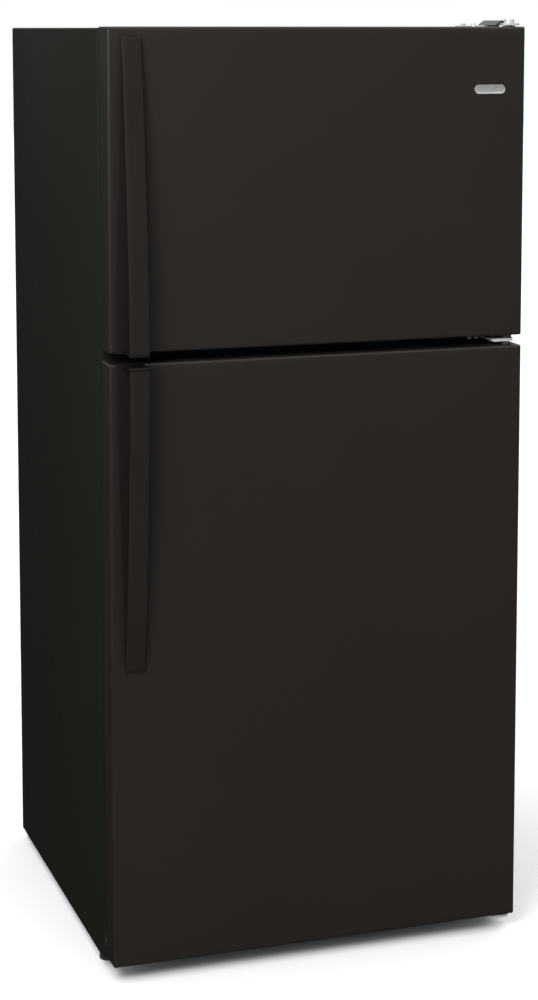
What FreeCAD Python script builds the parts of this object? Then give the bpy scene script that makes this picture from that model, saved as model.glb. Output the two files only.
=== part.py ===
"""Top freezer refrigerator with two right-hinged doors, as separate pieces.

Millimetres. +X is the hinge side, -Y the front, +Z up. The origin lies on the floor, at the
middle of the cabinet's width and of the whole depth, from the handles to the back.
"""
import FreeCAD, Part
import math
import os

# Whole appliance
WIDTH = 756.0
DEPTH = 800.0
CABINET_TOP = 1646.0
CABINET_BOTTOM = 18.0
BACK_Y = DEPTH / 2

# Doors
HANDLE_RISE = 50.0
DOOR_FRONT_Y = -DEPTH / 2 + HANDLE_RISE
DOOR_THICKNESS = 57.0
DOOR_REAR_Y = DOOR_FRONT_Y + DOOR_THICKNESS
GASKET_THICKNESS = 12.0
FRONT_Y = DOOR_REAR_Y + GASKET_THICKNESS
FRIDGE_DOOR_Z = (30.0, 1085.0)
FREEZER_DOOR_Z = (1103.0, 1648.0)
DOOR_EDGE_RADIUS = 5.0
PIVOT_X = WIDTH / 2 - 22.0
PIVOT_Y = DOOR_REAR_Y - 35.0

# Sheet and wall thicknesses
STEEL = 1.2
RAIL_STEEL = 2.0
LINER = 2.0
GASKET_WIDTH = 18.0
FLANGE = 40.0
REAR_FLANGE = 15.0

# Compartments, inside the liners
FREEZER_HALF = 320.0
FREEZER_Z = (1130.0, 1586.0)
FREEZER_BACK_Y = 338.0
FRIDGE_HALF = 332.0
FRIDGE_Z = (120.0, 1060.0)
FRIDGE_BACK_Y = 328.0
HUMP_Y = 158.0
HUMP_Z = 292.0

# Base: side rails, cross member, toe grille, feet and rollers
BASE_TOP = 88.0
RAIL_BOTTOM = 30.0
RAIL_INNER = 340.0
CROSS_Y = (FRONT_Y + 19.0, FRONT_Y + 49.0)
CROSS_BOTTOM = 56.0
FOOT_PLATE_Z = (38.0, 46.0)
FOOT_PLATE_HALF = 22.0
FOOT_DISC_RADIUS = 16.0
FOOT_DISC = 8.0
FOOT_NUT_TOP = 18.0
FOOT_TOP = 80.0
ROLLER_WIDTH = 18.0
ROLLER_EAR_Z = 14.0
GRILLE_Z = (22.0, BASE_TOP - 2.0)
GRILLE_ROWS = (34, 48, 62)
GRILLE_SLOT = (32.0, 6.0)

# Machine compartment, behind and under the hump
MACHINE_Y = 200.0
MACHINE_TOP = 250.0
TRAY_Z = 34.0
TRAY_LIP = 22.0
COMPRESSOR_X = -215.0
COMPRESSOR_Y = 298.0
COMPRESSOR_FOOT = (88.0, 55.0)
COMPRESSOR_RADIUS = 72.0
GROMMET_HEIGHT = 16.0
GROMMET_PLACE = (72.0, 39.0)
FAN_X = 6.0
FAN_Y = 298.0
FAN_Z = 140.0
MOTOR_LENGTH = 36.0
MOTOR_RADIUS = 24.0
FAN_SHAFT_RADIUS = 2.5
FAN_HUB_LENGTH = 18.0
CONDENSER_X = (62.0, 318.0)
CONDENSER_Y = (262.0, 318.0)
CONDENSER_Z = 84.0
CONDENSER_PITCH = 22.0
CONDENSER_ROWS = 6
CONDENSER_TUBE = 4.0
LINE_RADIUS = 3.2
LINE_BEND = 8.0
LINE_TOP = 230.0
DRIER_Y = 362.0
COVER_ROWS = (110, 130, 150, 170, 190)
COVER_COLUMNS = (-220, -130, -40, 50, 140, 230)

# Evaporator behind the freezer's rear cover
COIL_X = 226.0
COIL_Y = (290.0, 318.0)
COIL_Z = 1190.0
COIL_PITCH = 24.0
COIL_ROWS = 8
FIN_Y = (280.0, 328.0)
FIN_Z = (1180.0, 1368.0)
HEATER_Y = 304.0
HEATER_Z = 1162.0
HEATER_HALF = 210.0
HEATER_CLIPS = (-180.0, 174.0)
EVAPORATOR_COVER_Y = (262.0, 265.0)
EVAPORATOR_COVER_TOP = 1560.0
EVAPORATOR_FAN_Z = 1480.0
VENT_Z = (1450.0, 1510.0)

# Door linings and what they carry
DYKE_Y = -240.0
DYKE_WIDTH = 28.0
DYKE_GAP = 14.0
BIN_WALL = 2.5
BIN_CORNER = 6.0
FRIDGE_BIN_DEPTH = 118.0
FRIDGE_BIN_HEIGHT = 112.0
FRIDGE_BIN_Z = (345.0, 545.0, 740.0)
FREEZER_BIN_DEPTH = 100.0
FREEZER_BIN_HEIGHT = 92.0
FREEZER_BIN_Z = (1185.0, 1385.0)
BUTTER_X = (-290.0, -20.0)
BUTTER_Z = (925.0, 1018.0)
BUTTER_REAR_Y = -186.0
BUTTER_LID_PIN = 2.5

# Shelves and drawers
FRAME_EDGE = 14.0
FRAME_FRONT = 24.0
FRAME_SEAT = 8.0
SHELF_FRONT_Y = -140.0
SHELF_THICKNESS = 12.0
SHELF_Z = (318.0, 560.0, 790.0)
CRISPER_FRONT_Y = -148.0
CRISPER_TOP = 312.0
CRISPER_FLOOR = FRIDGE_Z[0] + 0.5
FREEZER_SHELF_Z = 1352.0
FREEZER_SHELF_Y = (-150.0, 236.0)
FREEZER_SHELF_WIRES = 26

# Controls and light in the fridge ceiling
HOUSING_X = 165.0
HOUSING_Y = (-60.0, 130.0)
HOUSING_BOTTOM = 1010.0
HOUSING_WALL = 2.5
WINDOW_X = 58.0
WINDOW_Y = (40.0, 110.0)
BULB_X = 4.0
BULB_Y = 75.0
BULB_Z = 1035.0
KNOB_X = 70.0
KNOB_Z = 1034.0
KNOB_RADIUS = 15.0
SPINDLE_RADIUS = 3.0
SWITCH_X = -200.0
SWITCH_Z = 1042.0
PLUNGER_RADIUS = 3.5

# Handles: a channel open towards the door's free edge
HANDLE_LENGTH = 528.0
HANDLE_FACE_X = (-355.0, -320.0)
HANDLE_WALL = 4.0
HANDLE_BASE = 3.0
HANDLE_LIP = 11.5

# Hinges and their screws
PIN_RADIUS = 5.0
BUSHING_RADIUS = 8.0
BUSHING_FLANGE_RADIUS = 11.0
BUSHING_LENGTH = 30.0
TOP_PLATE_Z = FREEZER_DOOR_Z[1] + 2.0
HINGE_ARM = 4.0
HINGE_BOSS = 8.0
HINGE_PLATE_X = (310.0, 366.0)
HINGE_PLATE_Y = (FRONT_Y + 9.0, FRONT_Y + 91.0)
HINGE_ARM_X = (344.5, 362.0)
HINGE_STEP_Y = FRONT_Y + 35.0
HINGE_SCREWS_Y = (FRONT_Y + 31.0, FRONT_Y + 76.0)
HINGE_COVER_X = (334.0, 368.0)
HINGE_COVER_Y = (PIVOT_Y + 12.0, FRONT_Y + 41.0)
HINGE_COVER_TOP = FREEZER_DOOR_Z[1] + 11.0
CENTRE_Z = (FRIDGE_DOOR_Z[1] + FREEZER_DOOR_Z[0]) / 2
CENTRE_FLANGE_X = (298.0, 368.0)
CENTRE_PLATE_X = (326.0, 368.0)
CENTRE_PLATE_TIP_Y = PIVOT_Y - 14
BOTTOM_PLATE_TOP = FRIDGE_DOOR_Z[0] - 3.0
SCREW_RADIUS = 5.0
SCREW_HEAD = 4.0

# Seals: outer heights of each door's ring
FREEZER_SEAL_Z = (FREEZER_DOOR_Z[0] + 4.0, FREEZER_DOOR_Z[1] - 28.0)
FRIDGE_SEAL_Z = (98.0, FRIDGE_DOOR_Z[1] - 2.0)

# Fits, feet, rollers and the lead's gland
RUNNING = 0.05
AXLE_RADIUS = 4.0
ROLLER_RADIUS = 22.0
ROLLER_Y = 345.0
FOOT_Y = -232.0
FOOT_X = (RAIL_INNER + WIDTH / 2 - STEEL) / 2
GLAND_RADIUS = 5.0
GLAND_OUTER = 9.0
GLAND_LENGTH = 10.0
GLAND_X = -300.0
GLAND_Z = 86.0


def vec(x, y, z):
    return FreeCAD.Vector(x, y, z)


def block(xs, ys, zs):
    """Box between two x, two y and two z values."""
    return Part.makeBox(xs[1] - xs[0], ys[1] - ys[0], zs[1] - zs[0], vec(xs[0], ys[0], zs[0]))


def rod(start, direction, length, radius):
    """Round bar from a point along a direction."""
    return Part.makeCylinder(radius, length, vec(*start), vec(*direction))


def fuse(shapes):
    """One solid from shapes that overlap or share faces."""
    return shapes[0].multiFuse(shapes[1:]).removeSplitter()


def cut(shape, tools):
    """The shape with every tool's space taken out."""
    return shape.cut(Part.makeCompound(tools))


def slab(points, axis, start, end):
    """Prism of a closed outline; the points hold the two coordinates other than the axis."""
    place = {
        "x": lambda a, b: vec(start, a, b),
        "y": lambda a, b: vec(a, start, b),
        "z": lambda a, b: vec(a, b, start),
    }[axis]
    reach = {"x": vec(end - start, 0, 0), "y": vec(0, end - start, 0), "z": vec(0, 0, end - start)}
    corners = [place(a, b) for a, b in points]
    return Part.Face(Part.makePolygon(corners + corners[:1])).extrude(reach[axis])


def rounded(shape, radius, chosen):
    """The shape with a radius on each edge that the test chooses."""
    edges = [edge for edge in shape.Edges if chosen(edge)]
    return shape.makeFillet(radius, edges)


def runs_along(edge, axis):
    """True for a straight edge parallel to the axis 0, 1 or 2."""
    step = edge.Vertexes[-1].Point - edge.Vertexes[0].Point
    return step.Length > 0 and abs(step[axis]) > 0.999 * step.Length


def tube(points, radius, bend):
    """Round tube along straight runs joined by arcs of one bend radius."""
    corners = [vec(*point) for point in points]
    edges = []
    start = corners[0]
    for before, corner, after in zip(corners, corners[1:], corners[2:]):
        back = (before - corner).normalize()
        ahead = (after - corner).normalize()
        half = back.getAngle(ahead) / 2
        reach = bend / math.tan(half)
        middle = corner + (back + ahead).normalize() * (bend / math.sin(half) - bend)
        edges.append(Part.makeLine(start, corner + back * reach))
        arc_start = corner + back * reach
        start = corner + ahead * reach
        edges.append(Part.Arc(arc_start, middle, start).toShape())
    edges.append(Part.makeLine(start, corners[-1]))
    ring = Part.Wire(Part.makeCircle(radius, corners[0], corners[1] - corners[0]))
    return Part.Wire(edges).makePipeShell([ring], True, False)


def hexagon(middle, axis, radius, start, end):
    """Six-sided prism with its corners at a radius from a middle of two coordinates."""
    turns = [math.radians(60 * index) for index in range(6)]
    corners = [(middle[0] + radius * math.cos(t), middle[1] + radius * math.sin(t)) for t in turns]
    return slab(corners, axis, start, end)


def tub(xs, ys, zs, wall, corner):
    """Open-topped tub with rounded upright corners."""
    outer = rounded(block(xs, ys, zs), corner, lambda edge: runs_along(edge, 2))
    inner = block(
        (xs[0] + wall, xs[1] - wall), (ys[0] + wall, ys[1] - wall), (zs[0] + wall, zs[1] + 1)
    )
    inner = rounded(inner, corner - wall, lambda edge: runs_along(edge, 2))
    return outer.cut(inner)


# ---------------------------------------------------------------- cabinet


def cabinet_wrapper():
    """Folded steel case: two sides and a top, with front and rear returns."""
    half = WIDTH / 2
    case = block((-half, half), (FRONT_Y, BACK_Y), (CABINET_BOTTOM, CABINET_TOP))
    inside = block(
        (-half + STEEL, half - STEEL),
        (FRONT_Y + STEEL, BACK_Y - STEEL),
        (CABINET_BOTTOM - 1, CABINET_TOP - STEEL),
    )
    front = block(
        (-half + FLANGE, half - FLANGE), (FRONT_Y - 1, FRONT_Y + 2), (0, CABINET_TOP - FLANGE)
    )
    toe = block((-half + STEEL, half - STEEL), (FRONT_Y - 1, FRONT_Y + 2), (0, BASE_TOP))
    rear = block(
        (-half + REAR_FLANGE, half - REAR_FLANGE),
        (BACK_Y - 2, BACK_Y + 1),
        (0, CABINET_TOP - REAR_FLANGE),
    )
    return cut(case, [inside, front, toe, rear])


def cabinet_back_panel():
    """Flat steel sheet behind the foam."""
    half = WIDTH / 2 - STEEL
    return block((-half, half), (BACK_Y - 2 * STEEL, BACK_Y - STEEL), (MACHINE_TOP, CABINET_TOP - STEEL))


def fridge_space(grow):
    """Solid of the fresh-food space with the machine hump, grown outwards by a thickness."""
    outline = [
        (FRONT_Y - 1, FRIDGE_Z[0] - grow),
        (HUMP_Y + grow, FRIDGE_Z[0] - grow),
        (HUMP_Y + grow, HUMP_Z - grow),
        (FRIDGE_BACK_Y + grow, HUMP_Z - grow),
        (FRIDGE_BACK_Y + grow, FRIDGE_Z[1] + grow),
        (FRONT_Y - 1, FRIDGE_Z[1] + grow),
    ]
    return slab(outline, "x", -FRIDGE_HALF - grow, FRIDGE_HALF + grow)


def freezer_space(grow):
    """Solid of the freezer space, grown outwards by a thickness."""
    return block(
        (-FREEZER_HALF - grow, FREEZER_HALF + grow),
        (FRONT_Y - 1, FREEZER_BACK_Y + grow),
        (FREEZER_Z[0] - grow, FREEZER_Z[1] + grow),
    )


def cabinet_foam():
    """Insulating foam between the case and the two liners, in one piece."""
    half = WIDTH / 2 - STEEL
    body = block(
        (-half, half), (FRONT_Y + LINER, BACK_Y - 2 * STEEL), (BASE_TOP, CABINET_TOP - STEEL)
    )
    machine = block((-half - 1, half + 1), (MACHINE_Y, BACK_Y), (0, MACHINE_TOP))
    return cut(body, [fridge_space(LINER), freezer_space(LINER), machine])


def liner_flange(zs):
    """Flat lip of a liner around its mouth, between the case's front returns."""
    reach = WIDTH / 2 - FLANGE
    return block((-reach, reach), (FRONT_Y, FRONT_Y + LINER), zs)


def freezer_liner():
    """Moulded freezer liner with two ribs that carry the shelf."""
    lip = liner_flange((FREEZER_Z[0] - LINER, CABINET_TOP - FLANGE))
    shell = cut(freezer_space(LINER), [block((-400, 400), (FRONT_Y - 2, FRONT_Y), (1000, 1700))])
    lining = fuse([shell, lip]).cut(freezer_space(0))
    ribs = [
        block(xs, (-150, 240), (FREEZER_SHELF_Z - 10, FREEZER_SHELF_Z))
        for xs in ((-FREEZER_HALF, -FREEZER_HALF + 12), (FREEZER_HALF - 12, FREEZER_HALF))
    ]
    return fuse([lining] + ribs)


def fresh_food_liner():
    """Moulded fresh-food liner with its hump and the ribs that carry the shelves."""
    lip = liner_flange((BASE_TOP, FRIDGE_Z[1] + LINER))
    shell = cut(fridge_space(LINER), [block((-400, 400), (FRONT_Y - 2, FRONT_Y), (50, 1100))])
    lining = fuse([shell, lip]).cut(fridge_space(0))
    ribs = []
    for height in SHELF_Z:
        for xs in ((-FRIDGE_HALF, -FRIDGE_HALF + 5), (FRIDGE_HALF - 5, FRIDGE_HALF)):
            ribs.append(block(xs, (SHELF_FRONT_Y + 4, FRIDGE_BACK_Y), (height - 5, height)))
    return fuse([lining] + ribs)


def mullion_rail():
    """Steel strip across the front between the two compartments."""
    reach = WIDTH / 2 - FLANGE
    face = (FRIDGE_Z[1] + LINER, FREEZER_Z[0] - LINER)
    return block((-reach, reach), (FRONT_Y, FRONT_Y + LINER), face)


# ---------------------------------------------------------------- base


def foot_plate(side):
    """Threaded plate in a rail that carries a levelling foot."""
    outer = WIDTH / 2 - STEEL
    xs = sorted((side * (RAIL_INNER + RAIL_STEEL), side * (outer - RAIL_STEEL)))
    plate = block(xs, (FOOT_Y - FOOT_PLATE_HALF, FOOT_Y + FOOT_PLATE_HALF), FOOT_PLATE_Z)
    hole = rod((side * FOOT_X, FOOT_Y, RAIL_BOTTOM), (0, 0, 1), 20, PIN_RADIUS + RUNNING)
    return plate.cut(hole)


def base_rail(side):
    """Upside-down channel under one side, with a roller axle at the back."""
    outer = WIDTH / 2 - STEEL
    xs = sorted((side * RAIL_INNER, side * outer))
    hollow_x = (xs[0] + RAIL_STEEL, xs[1] - RAIL_STEEL)
    rail = block(xs, (FRONT_Y + 6, BACK_Y - 5), (RAIL_BOTTOM, BASE_TOP))
    hollow = block(hollow_x, (FRONT_Y, BACK_Y), (RAIL_BOTTOM - 1, BASE_TOP - RAIL_STEEL))
    ear = block(xs, (ROLLER_Y - 12, ROLLER_Y + 12), (ROLLER_EAR_Z, RAIL_BOTTOM))
    ear = ear.cut(block(hollow_x, (ROLLER_Y - 13, ROLLER_Y + 13), (0, RAIL_BOTTOM)))
    axle = rod((xs[0], ROLLER_Y, ROLLER_RADIUS), (1, 0, 0), xs[1] - xs[0], AXLE_RADIUS)
    return fuse([rail.cut(hollow), ear, axle, foot_plate(side)])


def base_frame():
    """Two side channels welded to a front cross member."""
    cross = block((-RAIL_INNER, RAIL_INNER), CROSS_Y, (CROSS_BOTTOM, BASE_TOP))
    hollow = block(
        (-RAIL_INNER, RAIL_INNER),
        (CROSS_Y[0] + RAIL_STEEL, CROSS_Y[1] + 1),
        (CROSS_BOTTOM + RAIL_STEEL, BASE_TOP - RAIL_STEEL),
    )
    return fuse([cross.cut(hollow), base_rail(-1), base_rail(1)])


def levelling_foot(side):
    """Front foot: a wide disc, a hexagon for a spanner and a threaded stud."""
    x = side * FOOT_X
    disc = rod((x, FOOT_Y, 0), (0, 0, 1), FOOT_DISC, FOOT_DISC_RADIUS)
    disc = rounded(disc, 2, lambda edge: edge.BoundBox.ZMin > FOOT_DISC - 0.1)
    nut = hexagon((x, FOOT_Y), "z", 8, FOOT_DISC, FOOT_NUT_TOP)
    stud = rod((x, FOOT_Y, FOOT_NUT_TOP), (0, 0, 1), FOOT_TOP - FOOT_NUT_TOP, PIN_RADIUS)
    return fuse([disc, nut, stud])


def rear_roller(side):
    """Rear roller with rounded rims, loose on its axle."""
    x = side * FOOT_X - ROLLER_WIDTH / 2
    wheel = rod((x, ROLLER_Y, ROLLER_RADIUS), (1, 0, 0), ROLLER_WIDTH, ROLLER_RADIUS)
    wheel = rounded(wheel, 2.5, lambda edge: edge.Length > 50 and not runs_along(edge, 0))
    start = (x - 1, ROLLER_Y, ROLLER_RADIUS)
    return wheel.cut(rod(start, (1, 0, 0), ROLLER_WIDTH + 2, AXLE_RADIUS + RUNNING))


def compressor_tray():
    """Folded steel tray between the rails that carries the compressor."""
    ys = (MACHINE_Y + 4, BACK_Y - 8)
    tray = block((-RAIL_INNER, RAIL_INNER), ys, (TRAY_Z, TRAY_Z + TRAY_LIP))
    inside = block(
        (-RAIL_INNER + RAIL_STEEL, RAIL_INNER - RAIL_STEEL),
        (ys[0] - 1, ys[1] + 1),
        (TRAY_Z + RAIL_STEEL, TRAY_Z + TRAY_LIP + 1),
    )
    return tray.cut(inside)


def toe_grille():
    """Moulded grille in the toe space behind the door's lower edge."""
    reach = RAIL_INNER - 2
    face_y = (FRONT_Y + 2, FRONT_Y + 7)
    plate = block((-reach, reach), face_y, GRILLE_Z)
    slots = [
        block((x, x + GRILLE_SLOT[0]), (face_y[0] - 1, face_y[1] + 1), (z, z + GRILLE_SLOT[1]))
        for z in GRILLE_ROWS
        for x in range(-310, 290, 44)
    ]
    posts = [block((x, x + 12), (face_y[1], CROSS_Y[0]), (66, 78)) for x in (-326, 314)]
    return fuse([cut(plate, slots)] + posts)


# ---------------------------------------------------------------- cooling machine


def compressor():
    """Welded compressor can on its foot plate, with one stub pipe."""
    base = TRAY_Z + RAIL_STEEL + GROMMET_HEIGHT
    foot = block(
        (COMPRESSOR_X - COMPRESSOR_FOOT[0], COMPRESSOR_X + COMPRESSOR_FOOT[0]),
        (COMPRESSOR_Y - COMPRESSOR_FOOT[1], COMPRESSOR_Y + COMPRESSOR_FOOT[1]),
        (base, base + 4),
    )
    foot = rounded(foot, 16, lambda edge: runs_along(edge, 2))
    profile = [
        vec(0, 0, base + 4),
        vec(COMPRESSOR_RADIUS - 10, 0, base + 4),
        vec(COMPRESSOR_RADIUS, 0, base + 22),
        vec(COMPRESSOR_RADIUS, 0, base + 92),
        vec(COMPRESSOR_RADIUS - 16, 0, base + 122),
        vec(0, 0, base + 134),
    ]
    face = Part.Face(Part.makePolygon(profile + profile[:1]))
    can = face.revolve(vec(0, 0, 0), vec(0, 0, 1), 360)

    def shoulder(edge):
        return base + 60 < edge.BoundBox.Center.z < base + 123 and edge.Length > 200

    can = rounded(can, 12, shoulder)
    can.translate(vec(COMPRESSOR_X, COMPRESSOR_Y, 0))
    stub = rod((COMPRESSOR_X + COMPRESSOR_RADIUS - 12, COMPRESSOR_Y, base + 60), (1, 0, 0), 22, 5)
    return fuse([foot, can, stub])


def compressor_grommets():
    """Four rubber mounts between the compressor's foot plate and the tray."""
    low = TRAY_Z + RAIL_STEEL
    return Part.makeCompound(
        [
            rod((COMPRESSOR_X + dx, COMPRESSOR_Y + dy, low), (0, 0, 1), GROMMET_HEIGHT, 11)
            for dx in (-GROMMET_PLACE[0], GROMMET_PLACE[0])
            for dy in (-GROMMET_PLACE[1], GROMMET_PLACE[1])
        ]
    )


def zigzag(x0, x1, heights, y):
    """Corner points of a tube that runs to and fro between two x values."""
    points = []
    for index, height in enumerate(heights):
        ends = (x0, x1) if index % 2 == 0 else (x1, x0)
        points += [(ends[0], y, height), (ends[1], y, height)]
    return points


def condenser_coil():
    """Two layers of steel tube that zigzag between two end plates."""
    heights = [CONDENSER_Z + CONDENSER_PITCH * row for row in range(CONDENSER_ROWS)]
    x0, x1 = CONDENSER_X
    bend = CONDENSER_PITCH / 2 - 0.5
    layers = [tube(zigzag(x0 + 14, x1 - 14, heights, y), CONDENSER_TUBE, bend) for y in CONDENSER_Y]
    plate_y = (CONDENSER_Y[0] - 22, CONDENSER_Y[1] + 22)
    plate_z = (heights[0] - 22, heights[-1] + 18)
    plates = [block((x, x + 2), plate_y, plate_z) for x in (x0 + 34, x1 - 36)]
    return fuse(layers + plates)


def fan_motor(centre, direction):
    """Small motor can with its shaft."""
    can = rod(centre, direction, MOTOR_LENGTH, MOTOR_RADIUS)
    tip = [c + MOTOR_LENGTH * d for c, d in zip(centre, direction)]
    return fuse([can, rod(tip, direction, 24, FAN_SHAFT_RADIUS)])


def fan_motors():
    """The condenser fan's and the evaporator fan's motors, each on its strap."""
    back = FAN_X - 16 - MOTOR_LENGTH
    lower = fan_motor((back, FAN_Y, FAN_Z), (1, 0, 0))
    strap_z = (TRAY_Z + RAIL_STEEL, FAN_Z + MOTOR_RADIUS)
    lower_strap = block((back - 4, back), (FAN_Y - 10, FAN_Y + 10), strap_z)
    upper = fan_motor((0, FREEZER_BACK_Y - 4, EVAPORATOR_FAN_Z), (0, -1, 0))
    strap_y = (FREEZER_BACK_Y - 4, FREEZER_BACK_Y)
    upper_strap = block((-70, 70), strap_y, (EVAPORATOR_FAN_Z - 10, EVAPORATOR_FAN_Z + 10))
    return Part.makeCompound([fuse([lower, lower_strap]), fuse([upper, upper_strap])])


def fan_blades(radius, chord):
    """Five pitched blades on a hub, turning about +Z through the origin, hub from 0 up."""
    hub = rod((0, 0, 0), (0, 0, 1), FAN_HUB_LENGTH, 15)
    blades = []
    for index in range(5):
        blade = block((12, radius), (-chord / 2, chord / 2), (-0.9, 0.9))
        blade.rotate(vec(0, 0, 0), vec(1, 0, 0), 32)
        blade.translate(vec(0, 0, FAN_HUB_LENGTH / 2))
        blade.rotate(vec(0, 0, 0), vec(0, 0, 1), 72 * index)
        blades.append(blade)
    bore = rod((0, 0, -1), (0, 0, 1), FAN_HUB_LENGTH + 2, FAN_SHAFT_RADIUS + RUNNING)
    return fuse([hub] + blades).cut(bore)


def condenser_fan_blade():
    """Fan that blows across the condenser, on a shaft along X."""
    fan = fan_blades(74, 34)
    fan.rotate(vec(0, 0, 0), vec(0, 1, 0), 90)
    fan.translate(vec(FAN_X - 12, FAN_Y, FAN_Z))
    return fan


def evaporator_fan_blade():
    """Fan behind the freezer's rear cover, on a shaft along Y."""
    fan = fan_blades(52, 24)
    fan.rotate(vec(0, 0, 0), vec(1, 0, 0), 90)
    fan.translate(vec(0, FREEZER_BACK_Y - 8 - MOTOR_LENGTH, EVAPORATOR_FAN_Z))
    return fan


def drain_pan():
    """Shallow pan under the condenser that catches defrost water."""
    floor = TRAY_Z + RAIL_STEEL
    ys = (CONDENSER_Y[0] - 30, CONDENSER_Y[1] + 30)
    return tub(CONDENSER_X, ys, (floor, floor + 24), 2.0, 14.0)


def refrigerant_lines():
    """Copper lines: compressor to condenser, and condenser by way of the drier to the foam."""
    stub_z = TRAY_Z + RAIL_STEEL + GROMMET_HEIGHT + 60
    riser_x = COMPRESSOR_X + COMPRESSOR_RADIUS + 32
    coil_x = CONDENSER_X[0] + 14
    drop_x = CONDENSER_X[0] - 10
    coil_z = CONDENSER_Z + CONDENSER_PITCH * (CONDENSER_ROWS - 1)
    near_y, far_y = CONDENSER_Y
    hot = tube(
        [
            (COMPRESSOR_X + COMPRESSOR_RADIUS + 10, COMPRESSOR_Y, stub_z),
            (riser_x, COMPRESSOR_Y, stub_z),
            (riser_x, COMPRESSOR_Y, LINE_TOP),
            (drop_x, COMPRESSOR_Y, LINE_TOP),
            (drop_x, near_y, LINE_TOP),
            (drop_x, near_y, coil_z),
            (coil_x, near_y, coil_z),
        ],
        LINE_RADIUS,
        LINE_BEND,
    )
    liquid = tube(
        [
            (coil_x, far_y, coil_z),
            (drop_x, far_y, coil_z),
            (drop_x, DRIER_Y, coil_z),
            (drop_x, DRIER_Y, MACHINE_TOP),
        ],
        LINE_RADIUS,
        LINE_BEND,
    )
    drier = rod((drop_x, DRIER_Y, coil_z + 8), (0, 0, 1), 40, 9)
    return Part.makeCompound([hot, fuse([liquid, drier])])


def rear_access_cover():
    """Slotted sheet over the machine compartment, with the lead's hole."""
    half = WIDTH / 2 - REAR_FLANGE - 2
    ys = (BACK_Y - 2 * STEEL, BACK_Y - STEEL)
    plate = block((-half, half), ys, (CABINET_BOTTOM + 12, MACHINE_TOP))
    slots = [
        block((x, x + 70), (ys[0] - 1, ys[1] + 1), (z, z + 7))
        for z in COVER_ROWS
        for x in COVER_COLUMNS
    ]
    hole = rod((GLAND_X, BACK_Y - GLAND_LENGTH, GLAND_Z), (0, 1, 0), 2 * GLAND_LENGTH, GLAND_OUTER)
    return cut(plate, slots + [hole])


def cord_gland():
    """Moulded grommet in the rear cover where the mains lead comes out."""
    inner_end = (GLAND_X, BACK_Y - GLAND_LENGTH, GLAND_Z)
    neck = rod(inner_end, (0, 1, 0), GLAND_LENGTH - STEEL, GLAND_OUTER)
    collar = rod((GLAND_X, BACK_Y - STEEL, GLAND_Z), (0, 1, 0), STEEL, GLAND_OUTER + 4)
    bore = rod(inner_end, (0, 1, 0), GLAND_LENGTH, GLAND_RADIUS)
    return fuse([neck, collar]).cut(bore)


def evaporator_coil():
    """Finned aluminium coil that stands behind the freezer's rear cover."""
    heights = [COIL_Z + COIL_PITCH * row for row in range(COIL_ROWS)]
    layers = [tube(zigzag(-COIL_X, COIL_X, heights, y), 4, COIL_PITCH / 2 - 1) for y in COIL_Y]
    fins = [block((x, x + 1), FIN_Y, FIN_Z) for x in range(-200, 201, 20)]
    return fuse(layers + fins)


def defrost_heater():
    """Glass tube heater in two clips under the evaporator coil."""
    glass = rod((-HEATER_HALF, HEATER_Y, HEATER_Z), (1, 0, 0), 2 * HEATER_HALF, 5)
    clip_z = (HEATER_Z - 8, HEATER_Z - 4)
    hook_z = (HEATER_Z - 4, HEATER_Z + 8)
    clips = [block((x, x + 6), (HEATER_Y - 8, FREEZER_BACK_Y), clip_z) for x in HEATER_CLIPS]
    hooks = [block((x, x + 6), (HEATER_Y - 6, HEATER_Y + 6), hook_z) for x in HEATER_CLIPS]
    return fuse([glass] + clips + hooks)


def evaporator_cover():
    """Rear freezer panel over the coil and its fan, with air vents."""
    ys = EVAPORATOR_COVER_Y
    through = (ys[0] - 1, ys[1] + 1)
    panel = block((-FREEZER_HALF, FREEZER_HALF), ys, (FREEZER_Z[0], EVAPORATOR_COVER_TOP))
    roof_z = (EVAPORATOR_COVER_TOP - 3, EVAPORATOR_COVER_TOP)
    top = block((-FREEZER_HALF, FREEZER_HALF), (ys[0], FREEZER_BACK_Y), roof_z)
    vents = [block((x, x + 8), through, VENT_Z) for x in range(-44, 40, 16)]
    return_z = (FREEZER_Z[0] + 6, FREEZER_Z[0] + 12)
    returns = [block((x, x + 40), through, return_z) for x in range(-280, 260, 56)]
    return cut(fuse([panel, top]), vents + returns)


# ---------------------------------------------------------------- inside fittings


def control_housing():
    """Moulded housing in the fridge ceiling for the controls and the light."""
    outer = block((-HOUSING_X, HOUSING_X), HOUSING_Y, (HOUSING_BOTTOM, FRIDGE_Z[1]))
    outer = rounded(outer, 10, lambda edge: runs_along(edge, 2))
    inner = block(
        (-HOUSING_X + HOUSING_WALL, HOUSING_X - HOUSING_WALL),
        (HOUSING_Y[0] + HOUSING_WALL, HOUSING_Y[1] - HOUSING_WALL),
        (HOUSING_BOTTOM + HOUSING_WALL, FRIDGE_Z[1] + 1),
    )
    window = block((-WINDOW_X, WINDOW_X), WINDOW_Y, (HOUSING_BOTTOM - 1, HOUSING_BOTTOM + 3))
    shafts = [
        rod((x, HOUSING_Y[0] - 1, KNOB_Z), (0, 1, 0), 5, SPINDLE_RADIUS + RUNNING)
        for x in (-KNOB_X, KNOB_X)
    ]
    return cut(outer, [inner, window] + shafts)


def light_cover():
    """Clear lens that closes the housing's window."""
    plate = block((-WINDOW_X, WINDOW_X), WINDOW_Y, (HOUSING_BOTTOM, HOUSING_BOTTOM + HOUSING_WALL))
    rib_y = (WINDOW_Y[0] + 4, WINDOW_Y[1] - 4)
    rib_z = (HOUSING_BOTTOM - 1.5, HOUSING_BOTTOM)
    ribs = [block((x, x + 1.5), rib_y, rib_z) for x in range(-50, 51, 10)]
    return fuse([plate] + ribs)


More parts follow.
